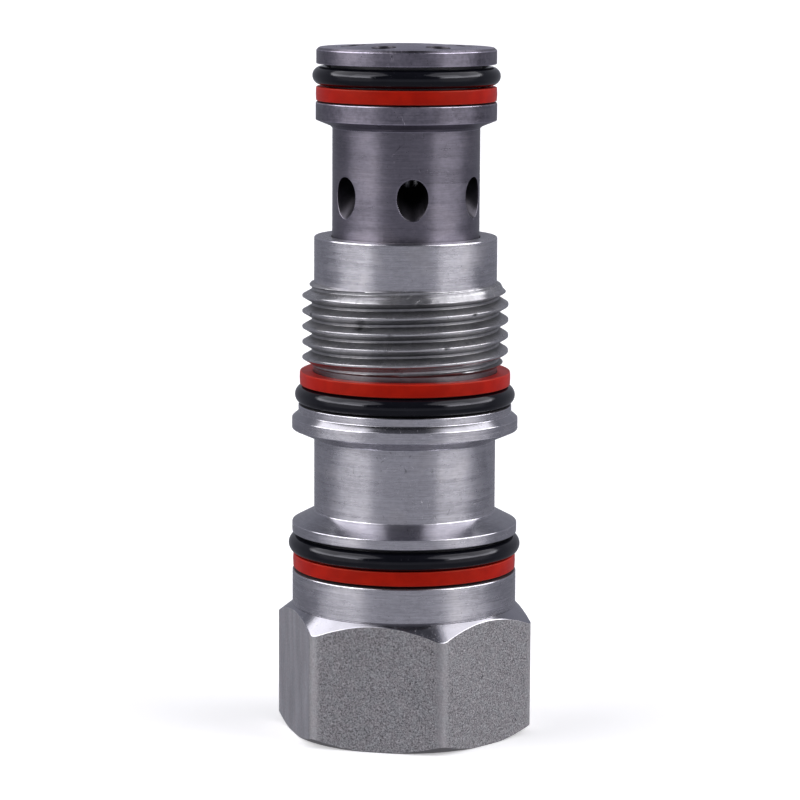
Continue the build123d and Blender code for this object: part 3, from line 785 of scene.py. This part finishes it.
# Outlines: (r, z, rounding, tag of the band that follows)
BODY_OUTLINE = [
    (CONE_TOP_R + 0.08, CONE_TOP_Z - 0.08 * CONE_SLOPE, 0, "cone"),
    (CONE_TOP_R, CONE_TOP_Z, 0.03, "groove"),
    (10.90, 12.364, 0.06, "turned"), (10.90, 15.65, 0.12, "groove"),
    (9.50, 15.65, 0.08, "groove"), (9.50, 19.41, 0.08, "groove"),
    (10.93, 19.41, 0.10, "turned"), (10.93, 20.37, 0.09, "flange"),
    (NECK_R, 21.49, 0.13, "neck"),
    *[(NECK_R, z, 0, "neck") for z in PILOT_ROWS],
    (NECK_R, 28.63, 0.14, "turned"),
    (10.95, 29.57, 0.09, "turned"), (10.95, 30.62, 0.09, "flange"),
    (10.33, 31.15, 0.06, "turned"), (10.33, 31.90, 0.09, "groove"),
    (8.90, 31.90, 0.08, "undercut"), (8.90, 35.62, 0.05, "thread"),
    (ROOT_R, THREAD_Z0, 0, "thread"),
]
# from the top of the thread over the mouth and down to the floor of the bore
BORE_OUTLINE = [
    (LIP_R, THREAD_Z1, 0, "turned"), (LIP_R, THREAD_Z1 + 0.025, 0, "turned"),
    (LIP_R, THREAD_Z1 + 0.08, 0, "turned"), (LIP_R, BODY_TOP, 0.16, "turned"),
    (UPPER_BORE_R, BODY_TOP, 0.14, "bore"), (UPPER_BORE_R, 45.55, 0.04, "bore"),
    (7.75, 45.55, 0.05, "bore"), (7.75, 44.45, 0.05, "bore"),
    (UPPER_BORE_R, 44.45, 0.04, "bore"), (UPPER_BORE_R, 41.40, 0.05, "bore"),
    (6.50, 41.40, 0.04, "bore"), (6.50, 41.10, 0.03, "bore"),
    (6.95, 41.10, 0.03, "bore"), (6.95, 40.45, 0.03, "bore"),
    (6.50, 40.45, 0.03, "bore"), (6.50, 38.00, 0.05, "bore"),
    (5.75, 38.00, 0.03, "bore"), (LOWER_BORE_R, 37.80, 0.03, "bore"),
    *[(LOWER_BORE_R, z, 0, "bore") for z in reversed(PILOT_ROWS)],
    (LOWER_BORE_R, 20.40, 0.10, "bore"),
    (1.50, 20.40, 0.03, "bore"), (0.0, 19.50, 0, "bore"),
]

# Distances from a crest centre to the thread's rows, over half a pitch
THREAD_OFFSETS = [0.0, 0.04, 0.07, 0.095, 0.12, 0.155, 0.24, 0.33, 0.42, 0.51, 0.585, 0.612,
                  0.626, 0.64, 0.67, 0.71]
# Nicks in the crests: degrees from -Y toward +X, height, radius, depth, radius of centre
THREAD_NICKS = [
    (-14.5, 40.30, 0.52, 0.12, 9.35), (36.0, 38.40, 0.26, 0.12, 9.9),
    (-52.0, 41.0, 0.28, 0.13, 9.9), (55.0, 41.45, 0.3, 0.12, 9.9),
    (140.0, 38.84, 0.4, 0.18, 9.9), (230.0, 40.7, 0.35, 0.16, 9.9),
    (5.0, 39.75, 0.2, 0.1, 9.9),
]


def hex_rows():
    """Rows (r, z, mark, tag) from the middle of the end face to the cone above the hex.

    From the chamfer on, r and z hold one value for each column."""
    foot, soft = -DATUM, HEX_SOFT
    rows = [(r, foot, 0.0, "endface") for r in (0.0, 1.5, 3.5, 5.5, 7.5, 9.3, 10.4)]
    face_r = np.minimum(END_R, HEX_R)
    rise = np.maximum(0.0, (HEX_R - END_R) * END_SLOPE)
    length = np.hypot(HEX_R - face_r, rise)
    # share of a full chamfer: it runs out where the flat comes close to the end face
    full = np.clip(length / (2 * soft), 0, 1)
    bare = 1 - full
    slant = math.hypot(1, END_SLOPE)
    half = np.minimum(soft, length / 2)
    half_r, half_z = half / slant, half * (END_SLOPE / slant)
    bare_r, bare_z = bare * (face_r - 0.29 * soft), bare * 0.29 * soft
    rows += [
        (face_r - 0.20, foot, 0.0, "endface"),
        (face_r - soft, foot, 0.6, "endface"),
        (full * (face_r + half_r) + bare_r, foot + full * half_z + bare_z, 1.0, "endface"),
        (full * (HEX_R - half_r) + bare_r, foot + full * (rise - half_z) + bare_z,
         1.0, "endface"),
    ]
    flat_foot = rise + foot
    flat_top = CONE_TOP_Z - (HEX_R - CONE_TOP_R) * CONE_SLOPE
    low, high = flat_foot + soft + 0.03, flat_top - soft - 0.03
    rows += [
        (HEX_R - 0.02 * bare, flat_foot + 0.28 * soft, 1.0, "hexflat"),
        (HEX_R, flat_foot + soft, 0.7, "hexflat"),
        (HEX_R, low, 0.0, "hexflat"),
    ]
    rows += [(HEX_R, low + (high - low) * k / 14, 0.0, "hexflat") for k in range(1, 14)]
    slant = math.hypot(1, CONE_SLOPE)
    soft_r, soft_z = soft / slant, soft * CONE_SLOPE / slant
    cone_r = HEX_R - (soft + 0.04) / slant
    rows += [
        (HEX_R, high, 0.0, "hexflat"),
        (HEX_R, flat_top - soft, 0.3, "hexflat"),
        (HEX_R - 0.012, flat_top - 0.3 * soft, 0.4, "cone"),
        (HEX_R - 0.3 * soft_r - 0.012, flat_top + 0.3 * soft_z - 0.004, 0.4, "cone"),
        (HEX_R - soft_r, flat_top + soft_z, 0.2, "cone"),
        (cone_r, flat_top + (soft + 0.04) * CONE_SLOPE / slant, 0.0, "cone"),
    ]
    for f in (0.3, 0.6, 0.85):
        r = cone_r + (CONE_TOP_R + 0.08 - cone_r) * f
        rows.append((r, CONE_TOP_Z - (r - CONE_TOP_R) * CONE_SLOPE, 0.0, "cone"))
    return rows


def thread_radius(offset):
    """Thread radius at a height offset from a crest centre, with soft crest and root."""
    from_crest = np.abs(((offset + PITCH / 2) % PITCH) - PITCH / 2)
    total = 0
    shifts = np.linspace(-0.026, 0.026, 5)
    for shift in shifts:
        past_crest = np.maximum(np.abs(from_crest + shift) - HALF_CREST, 0)
        total = total + np.clip(CREST_R - past_crest / FLANK_TAN, ROOT_R, CREST_R)
    return total / len(shifts)


def thread_grid():
    """Points, crest marks and amounts of nick darkening. The rows follow the helix, so the lines
    of crest and root stay crisp."""
    one_turn = np.array(THREAD_OFFSETS + [PITCH / 2]
                        + [PITCH - offset for offset in reversed(THREAD_OFFSETS[1:])])
    first = math.floor((THREAD_Z0 - CREST_Z) / PITCH) - 1
    last = math.ceil((THREAD_Z1 - CREST_Z) / PITCH)
    offset = np.concatenate([k * PITCH + one_turn for k in range(first, last + 1)])[:, None]
    angle = np.concatenate([BODY_ANGLES, [2 * math.pi]])[None]
    z = CREST_Z + PITCH * angle / (2 * math.pi) + offset
    # rows beyond either end collapse onto it
    inside = (z > THREAD_Z0 + 0.004) & (z < THREAD_Z1 - 0.004)
    z = np.where(z <= THREAD_Z0 + 0.004, THREAD_Z0,
                 np.where(z >= THREAD_Z1 - 0.004, THREAD_Z1, z))

    # small burrs along the crest, faded out so that both sides of the seam meet
    burr = value_noise(11, angle / (2 * math.pi) * 90,
                       np.floor((offset + PITCH / 2) / PITCH) * 7.3 + 31, 90)
    burr = burr * np.clip(np.minimum(angle, 2 * math.pi - angle) / 0.06, 0, 1)

    # the full form is cut down by a taper at each end
    form = thread_radius(offset)
    crest = np.clip((form - 9.80) / 0.17, 0, 1)
    taper_top = CREST_R + 0.3
    lower = ROOT_R + (z - THREAD_Z0) * ((taper_top - ROOT_R) / (FULL_Z0 - THREAD_Z0))
    upper = LIP_R + (THREAD_Z1 - z) * ((taper_top - LIP_R) / (THREAD_Z1 - FULL_Z1))
    # the last turn leaves a low lip before it fades
    left = np.clip(THREAD_Z1 - z, 0, None)
    upper = np.maximum(upper, LIP_R + np.minimum(2.4 * left, 0.30 + 0.5 * left))
    taper = np.minimum(lower, upper)
    blend = 0.03
    radius = 0.5 * (form + taper - np.sqrt((form - taper) ** 2 + blend ** 2))
    radius = radius - 0.012 * crest * np.clip(burr, 0, 1)
    radius = np.where(inside, radius, np.where(z <= THREAD_Z0, ROOT_R, LIP_R))
    radius = np.maximum(radius, LIP_R)

    nick_dark = np.zeros(radius.shape)
    for degrees, height, size, depth, centre_r in THREAD_NICKS:
        centre = cylinder_points(centre_r, height, math.radians(degrees - 90))
        distance = np.linalg.norm(cylinder_points(radius, z, angle) - centre, axis=-1)
        fade = -(distance / size) ** 2
        radius = radius - depth * np.exp(fade * 2.5) * inside
        nick_dark = np.maximum(nick_dark, np.clip(1.35 * np.exp(fade * 2.2), 0, 1))
    radius = np.maximum(radius, LIP_R)
    return cylinder_points(radius, z, angle), crest * inside, nick_dark


def add_nick_darkening(mesh, points, nick_dark):
    """Darker colour in the thread's nicks, looked up after the weld."""
    points, nick_dark = points[nick_dark > 0.05], nick_dark[nick_dark > 0.05]
    tree = KDTree(len(points))
    for i, (x, y, z) in enumerate(points):
        tree.insert((x * MM, y * MM, (z + DATUM) * MM), i)
    tree.balance()
    amount = np.zeros(len(mesh.vertices), np.float32)
    for i, vertex in enumerate(mesh.vertices):
        if 0.0357 < vertex.co.z < 0.0443:
            _, k, distance = tree.find(vertex.co)
            if distance < 2e-6:
                amount[i] = nick_dark[k]
    add_attribute(mesh, "nick_dark", amount)


def add_hex_finish(mesh):
    """Smooth bands along the hex corners, and two opposite flats that are worn smooth."""
    places = np.zeros(len(mesh.vertices) * 3)
    mesh.vertices.foreach_get("co", places)
    places = places.reshape(-1, 3) / MM
    degrees = np.degrees(np.arctan2(places[:, 1], places[:, 0]))
    on_hex = places[:, 2] < HEX_LIMIT_Z
    from_corner = np.abs((degrees + 30) % 60 - 30)
    add_attribute(mesh, "smooth", np.clip(1 - (from_corner - 1.5) / 2.1, 0, 1) * on_hex)

    def flat(middle):
        from_middle = np.abs((degrees - middle + 180) % 360 - 180)
        return np.clip(1 - (from_middle - 26.2) / 1.6, 0, 1)

    add_attribute(mesh, "wear", np.maximum(flat(-150), flat(30)) * on_hex)


def build_body():
    mesh = PieceMesh()
    hex_part = hex_rows()
    upper_part = fill_rows(round_outline(BODY_OUTLINE), 0.45)
    rows = hex_part + upper_part
    bore_rows = fill_rows(round_outline(BORE_OUTLINE), 0.9)
    every_column = np.ones(len(BODY_ANGLES))
    outside = cylinder_points(np.array([row[0] * every_column for row in rows]),
                              np.array([row[1] * every_column for row in rows]), BODY_ANGLES)
    inside, bore_marks, bore_tags = lathe(bore_rows, BODY_ANGLES)

    # the pilot hole goes through the wall on the +Y side, away from the camera
    degrees = np.degrees(BODY_ANGLES)
    span = [int(np.argmin(np.abs(degrees - limit))) for limit in (75, 105)]
    low, high = PILOT_ROWS[0], PILOT_ROWS[-1]
    outer_block = (*[len(hex_part) + row_at(upper_part, NECK_R, z) for z in (low, high)], *span)
    inner_block = (*[row_at(bore_rows, LOWER_BORE_R, z) for z in (high, low)], *span)
    mesh.grid(outside, np.array([row[2] for row in rows])[:, None],
              [row[3] for row in rows], skip=[outer_block])
    mesh.grid(inside, bore_marks, bore_tags, skip=[inner_block])
    drilled_hole(mesh, outside, outer_block, inside, inner_block,
                 theta=math.pi / 2, height=PILOT_Z, tilt=0.0, radius=PILOT_R,
                 outer_r=NECK_R, inner_r=LOWER_BORE_R, tags=("neck", "bore", "bore"))

    points, marks, nick_dark = thread_grid()
    mesh.grid(points, marks, ["thread"] * len(points), closed=False)
    body = mesh.build("valve_body_shell")
    add_nick_darkening(body.data, points, nick_dark)
    add_hex_finish(body.data)
    return body


# ---------------------------------------------------------------------------
# Floating nose sleeve with six slanting holes
# ---------------------------------------------------------------------------
SIDE_OUTER_ROWS = [49.66, 50.16, 50.66, 51.16, 51.66, 52.16, 52.66, 53.16, 53.66, 54.16, 54.66]
SIDE_INNER_ROWS = list(np.linspace(57.20, 52.75, 11))

# (r, z, rounding, tag), from the foot up the outside and down the bore
SLEEVE_OUTLINE = [
    (SLEEVE_BORE_R, SLEEVE_FOOT, 0, "bore"), (SLEEVE_R, SLEEVE_FOOT, 0.18, "sleeve"),
    (SLEEVE_R, 44.45, 0.05, "groove"), (6.65, 44.45, 0.05, "groove"),
    (6.65, 45.55, 0.05, "groove"), (SLEEVE_R, 45.55, 0.05, "sleeve"),
    *[(SLEEVE_R, z, 0, "sleeve") for z in SIDE_OUTER_ROWS],
    (SLEEVE_R, 58.61, 0.12, "sleeve"), (7.32, 58.83, 0.10, "land"),
    (8.70, 59.38, 0.08, "land"), (8.70, 61.07, 0.09, "groove"),
    (7.25, 61.07, 0.08, "groove"), (7.25, 64.73, 0.08, "groove"),
    (8.65, 64.73, 0.09, "land"), (8.65, 66.06, 0.10, "land"),
    (8.38, SLEEVE_TOP, 0.12, "disc"), (6.72, SLEEVE_TOP, 0.05, "bore"),
    (6.72, 65.00, 0.04, "bore"), (6.25, 65.00, 0.05, "bore"),
    (6.25, 57.30, 0.08, "bore"), (SLEEVE_BORE_R, 57.30, 0.05, "bore"),
    *[(SLEEVE_BORE_R, z, 0, "bore") for z in SIDE_INNER_ROWS],
    (SLEEVE_BORE_R, SLEEVE_FOOT, 0, "bore"),
]


def hole_blocks(rows, first_points, second_points, holes):
    """Angle and both open blocks of each hole, from the (r, z) ends of its rows."""
    first = [row_at(rows, *point) for point in first_points]
    second = [row_at(rows, *point) for point in second_points]
    return [(angle, (*first, *span), (*second, *span)) for angle, span in holes]


def build_sleeve():
    mesh = PieceMesh()
    # the stretches with holes keep their own spacing; the rest is filled
    rows = fill_rows(round_outline(SLEEVE_OUTLINE), 0.6, least=0.7)
    holes = hole_blocks(rows, [(SLEEVE_R, SIDE_OUTER_ROWS[k]) for k in (0, -1)],
                        [(SLEEVE_BORE_R, SIDE_INNER_ROWS[k]) for k in (0, -1)],
                        six_holes(SIDE_HOLE_ANGLE, half_width=14))
    points, marks, tags = lathe(rows, NOSE_ANGLES)
    mesh.grid(points, marks, tags, skip=[block for hole in holes for block in hole[1:]])
    for angle, outer_block, inner_block in holes:
        drilled_hole(mesh, points, outer_block, points, inner_block,
                     theta=angle, height=SIDE_HOLE_Z, tilt=SIDE_HOLE_TILT,
                     radius=SIDE_HOLE_R, outer_r=SLEEVE_R, inner_r=SLEEVE_BORE_R,
                     tags=("sleeve", "drill", "bore"))
    return mesh.build("nose_sleeve_shell")


# ---------------------------------------------------------------------------
# Crowned end disc with six flow holes
# ---------------------------------------------------------------------------
UNDER_RADII = list(np.linspace(3.55, 6.55, 11))
CROWN_RADII = list(np.linspace(6.55, 3.75, 11))

# (r, z, rounding, tag), from the middle of the underside out and back over the top
DISC_OUTLINE = [
    (0.0, 65.95, 0, "bore"), (1.60, 65.85, 0.03, "bore"), (1.60, 62.74, 0.04, "bore"),
    (1.74, 62.60, 0.04, "inner"), (2.36, 62.60, 0.04, "inner"), (2.50, 62.74, 0.04, "inner"),
    (2.50, DISC_UNDER_Z, 0.06, "inner"),
    *[(r, DISC_UNDER_Z, 0, "inner") for r in UNDER_RADII],
    (DISC_R, DISC_UNDER_Z, 0.05, "disc"), (DISC_R, 66.26, 0.05, "disc"),
    *[(r, float(crown_z(r)), 0, "disc")
      for r in [6.62, *CROWN_RADII, 3.2, 2.6, 2.0, 1.4, 0.8, 0.3]],
    (0.0, DISC_TOP, 0, "disc"),
]


def build_disc():
    mesh = PieceMesh()
    rows = round_outline(DISC_OUTLINE)
    holes = hole_blocks(rows, [(CROWN_RADII[k], float(crown_z(CROWN_RADII[k]))) for k in (0, -1)],
                        [(UNDER_RADII[k], DISC_UNDER_Z) for k in (0, -1)],
                        six_holes(FACE_HOLE_ANGLE, half_width=9))
    points, marks, tags = lathe(rows, NOSE_ANGLES)
    mesh.grid(points, marks, tags, skip=[block for hole in holes for block in hole[1:]])
    for angle, top_block, under_block in holes:
        face_hole(mesh, points, top_block, under_block, angle)
    return mesh.build("nose_end_disc")


# ---------------------------------------------------------------------------
# Seals
# ---------------------------------------------------------------------------
def build_oring(name, node, seed):
    """Moulded O-ring: round section that swells and sags very slightly."""
    low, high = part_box(node)
    tube_r = (high.z - low.z) / 2 / MM
    middle_z = (high.z + low.z) / 2 / MM
    ring_r = (high.x - low.x) / 2 / MM - tube_r
    columns, section_points = 288, 40
    angle = np.linspace(0, 2 * math.pi, columns, endpoint=False)[None]
    section = np.linspace(0, 2 * math.pi, section_points, endpoint=False)[:, None]
    turns = angle / (2 * math.pi)
    sag = value_noise(seed, turns * 9, 3.0, 9)
    swell = value_noise(seed + 5, turns * 14, 8.0, 14)
    tube = tube_r * (0.990 + 0.006 * swell)
    points = cylinder_points(ring_r + tube * np.cos(section),
                             middle_z + tube * np.sin(section) + 0.006 * sag, angle)
    mesh = PieceMesh()
    mesh.grid(np.concatenate([points, points[:1]], 0), 0.0, ["rubber"] * section_points)
    return mesh.build(name, lift=0.0)


def build_backup(name, node, seed):
    """Flat backup ring: square section with soft edges and a slight wave."""
    low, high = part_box(node)
    outer_r = (high.x - low.x) / 2 / MM
    z0, z1 = low.z / MM, high.z / MM
    places = np.array([v.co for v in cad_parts[node].data.vertices], float) / MM
    inner_r = float(np.hypot(places[:, 0], places[:, 1]).min())
    middle_z = (z0 + z1) / 2
    edge_r = outer_r - 0.03        # the outer wall bulges a little
    outline = [
        (inner_r, middle_z, 0, "red"), (inner_r, z0, 0.08, "red"), (edge_r, z0, 0.11, "red"),
        (outer_r, middle_z, 0, "red"), (edge_r, z1, 0.11, "red"), (inner_r, z1, 0.08, "red"),
        (inner_r, middle_z, 0, "red"),
    ]
    angles = np.radians(np.arange(0, 360, 1.25))
    points, marks, tags = lathe(round_outline(outline, hold=0.04), angles)
    turns = angles / (2 * math.pi)
    wave = value_noise(seed, turns * 7, 2.0, 7)
    uneven = value_noise(seed + 3, turns * 23, 5.0, 23)
    from_middle = points[..., 2] - middle_z
    share = np.abs(from_middle / (z1 - z0))
    points[..., 2] = (middle_z + from_middle * (0.985 + 0.008 * uneven)
                      + 0.004 * wave * (1 - 2 * share))
    radius = np.hypot(points[..., 0], points[..., 1])
    outward = np.clip((radius - inner_r) / (outer_r - inner_r), 0, 1)
    points[..., :2] *= (1 - outward * 0.0012 * (1 + uneven))[..., None]
    mesh = PieceMesh()
    mesh.grid(points, marks, tags)
    return mesh.build(name, lift=0.0)


# ---------------------------------------------------------------------------
# CAD pieces that stay, and springs
# ---------------------------------------------------------------------------
KEPT_PIECES = {
    "seat_ring": "inner", "check_poppet": "inner", "pilot_piston": "inner",
    "pilot_pin": "inner", "pilot_guide": "inner",
    "guide_snap_ring": "spring", "sleeve_retaining_wire": "spring",
    "pilot_piston_oring": "rubber", "pilot_backup_front": "red", "pilot_backup_rear": "red",
}


def finish_kept_pieces():
    for node, key in KEPT_PIECES.items():
        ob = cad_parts[node]
        if not ob.material_slots:
            ob.data.materials.append(MATERIALS[key])
        for slot in ob.material_slots:
            slot.material = MATERIALS[key]


def build_coil(node, host):
    """A copy of a CAD spring with the spring finish, put in place of the CAD piece and attached
    to its host.
    """
    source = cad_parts[node]
    mesh = source.data.copy()
    mesh.transform(source.matrix_world)
    coil = add_object(f"{node}_coil", mesh)
    mesh.materials.clear()
    mesh.materials.append(MATERIALS["spring"])
    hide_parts(node)
    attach(coil, host)
    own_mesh(coil)


def install(ob, node, host):
    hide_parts(node)
    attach(ob, host)


install(build_body(), "hex_body", "valve_body")
install(build_sleeve(), "nose_sleeve", "nose")
install(build_disc(), "nose_retainer", "nose")

SEAL_HOSTS = {"upper": "valve_body", "mid": "valve_body", "nose": "nose"}
for seed, (place, host) in enumerate(SEAL_HOSTS.items(), start=21):
    node = f"{place}_oring"
    install(build_oring(f"{node}_rubber", node, seed), node, host)
for seed, (place, host) in enumerate(SEAL_HOSTS.items(), start=31):
    node = f"{place}_backup_ring"
    install(build_backup(f"{place}_backup_red", node, seed), node, host)

finish_kept_pieces()
build_coil("check_spring", "nose")
build_coil("pilot_return_spring", "valve_body")

# ---------------------------------------------------------------------------
# Floor, light and camera
# ---------------------------------------------------------------------------
CAMERA_TURN, CAMERA_RISE = math.radians(13.2), math.radians(8.4)
CAMERA_ROLL = math.radians(0.3)
CAMERA_DISTANCE = 320.4 * MM
LOOK_Z = (32.2 + DATUM) * MM
FLOOR_HALF, FLOOR_Z = 3.0, -1e-5       # metres


def build_floor():
    """Pale floor that the valve neither shades nor mirrors."""
    mesh = bpy.data.meshes.new("floor")
    corners = [(-1, -1), (1, -1), (1, 1), (-1, 1)]
    mesh.from_pydata([(x * FLOOR_HALF, y * FLOOR_HALF, FLOOR_Z) for x, y in corners],
                     [], [(0, 1, 2, 3)])
    floor = add_object("floor", mesh)
    material, g, shader, point = new_material("pale_floor", color=(0.86, 0.86, 0.87), rough=0.9)
    cloud = g.noise(point, scale=0.05, detail=2.0, rough=0.5)
    g.set_inputs(shader, {
        "Base Color": g.mix(cloud, (0.90, 0.90, 0.905, 1), (0.93, 0.93, 0.935, 1)),
        "Specular IOR Level": 0.0,
        "Emission Color": (1, 1, 1, 1),
        "Emission Strength": 0.30,
    })
    mesh.materials.append(material)
    floor.visible_glossy = False
    floor.visible_shadow = False
    floor.visible_diffuse = False


def build_world():
    """White to the camera; for everything else a soft studio with a pale strip box
    on either side, a gap overhead and a pale table below."""
    world = bpy.data.worlds.new("studio")
    bpy.context.scene.world = world
    world.use_nodes = True
    g = Graph(world.node_tree)
    output = g.node("ShaderNodeOutputWorld")
    studio = g.node("ShaderNodeBackground", {"Strength": 1.0})
    backdrop = g.node("ShaderNodeBackground", {"Color": (1, 1, 1, 1), "Strength": 1.0})
    chooser = g.node("ShaderNodeMixShader")
    ray = g.node("ShaderNodeLightPath")
    g.links.new(ray.outputs["Is Camera Ray"], chooser.inputs[0])
    g.links.new(studio.outputs[0], chooser.inputs[1])
    g.links.new(backdrop.outputs[0], chooser.inputs[2])
    g.links.new(chooser.outputs[0], output.inputs[0])

    # turned so that the camera stands toward -y
    direction = g.out(g.node("ShaderNodeTexCoord"), "Generated")
    turned = g.node("ShaderNodeVectorRotate", {"Vector": direction, "Angle": -CAMERA_TURN},
                    rotation_type="Z_AXIS")
    x, y, z = g.separate(g.out(turned))
    aside = g.math("ABSOLUTE", x)

    # a tall softbox on each side; it leans in overhead and stops behind the part
    inner_edge = g.step(z, 0.40, 0.84, start=0.665, end=0.31)
    depth = y - z * 0.82
    box = (g.step(aside - inner_edge, -0.05, 0.05)
           * g.step(depth, -0.05, 0.10, start=1.0, end=0.0))
    upper = g.step(z, 0.22, 0.32)
    overhead = g.step(z, 0.5, 0.9, start=1.9, end=1.30)
    glow = g.mix_value(upper, 0.64, g.mix_value(g.step(z, 0.44, 0.56), 4.4, overhead))
    box = box * g.step(z, -0.55, -0.25)

    # brightness away from the boxes: on the camera's side, and behind the part
    camera_side = g.step(y, -0.15, 0.25, start=1.0, end=0.0)
    below = g.mix_value(g.step(z, -0.5, -0.22), 0.26, 0.50)
    level = g.mix_value(g.step(z, -0.17, -0.09), below, 0.355)
    near = g.mix_value(g.step(z, 0.06, 0.24), level, 0.085)
    behind = g.mix_value(g.step(z, 0.35, 0.65),
                         g.mix_value(g.step(z, -0.5, -0.15), 0.16, 0.24),
                         g.step(aside, 0.20, 0.34, start=0.055, end=0.16))
    light = g.mix_value(box, g.mix_value(camera_side, behind, near), glow)
    tint = g.mix(g.step(light, 0.15, 0.8), (0.93, 0.95, 1.10, 1), (1.0, 0.995, 1.03, 1))
    g.put(studio.inputs["Color"], g.tinted(tint, g.gray(light)))


def around_part(turn, rise, distance):
    """A place seen from the look point, turned from -Y toward +X and raised."""
    return (distance * math.cos(rise) * math.sin(turn),
            -distance * math.cos(rise) * math.cos(turn),
            LOOK_Z + distance * math.sin(rise))


def aim_at_part(ob):
    return (Vector((0, 0, LOOK_Z)) - ob.location).to_track_quat("-Z", "Y")


def area_light(name, turn, rise, distance, width, height, power):
    """Soft light aimed at the part; angles in degrees, turn counted from the camera."""
    data = bpy.data.lights.new(name, "AREA")
    data.shape = "RECTANGLE"
    data.size, data.size_y = width, height
    data.energy = power
    light = bpy.data.objects.new(name, data)
    light.location = around_part(math.radians(turn) + CAMERA_TURN, math.radians(rise), distance)
    light.rotation_euler = aim_at_part(light).to_euler()
    bpy.context.scene.collection.objects.link(light)


def build_camera():
    data = bpy.data.cameras.new("camera")
    data.lens = 148.5
    data.sensor_width = 36.0
    data.clip_start = 0.01
    data.clip_end = 20.0
    data.shift_x = -0.006125
    camera = add_object("camera", data)
    camera.location = around_part(CAMERA_TURN, CAMERA_RISE, CAMERA_DISTANCE)
    roll = Matrix.Rotation(CAMERA_ROLL, 3, "Z")
    camera.rotation_euler = (aim_at_part(camera).to_matrix() @ roll).to_euler()
    bpy.context.scene.camera = camera


build_floor()
build_world()
for name, turn in (("soft_left", -62), ("soft_right", 62)):
    area_light(name, turn=turn, rise=34, distance=0.9, width=0.40, height=0.50, power=0.9)
build_camera()

view = bpy.context.scene.view_settings
view.view_transform = "Standard"
view.look = "None"
view.exposure = 0.0
view.gamma = 1.0
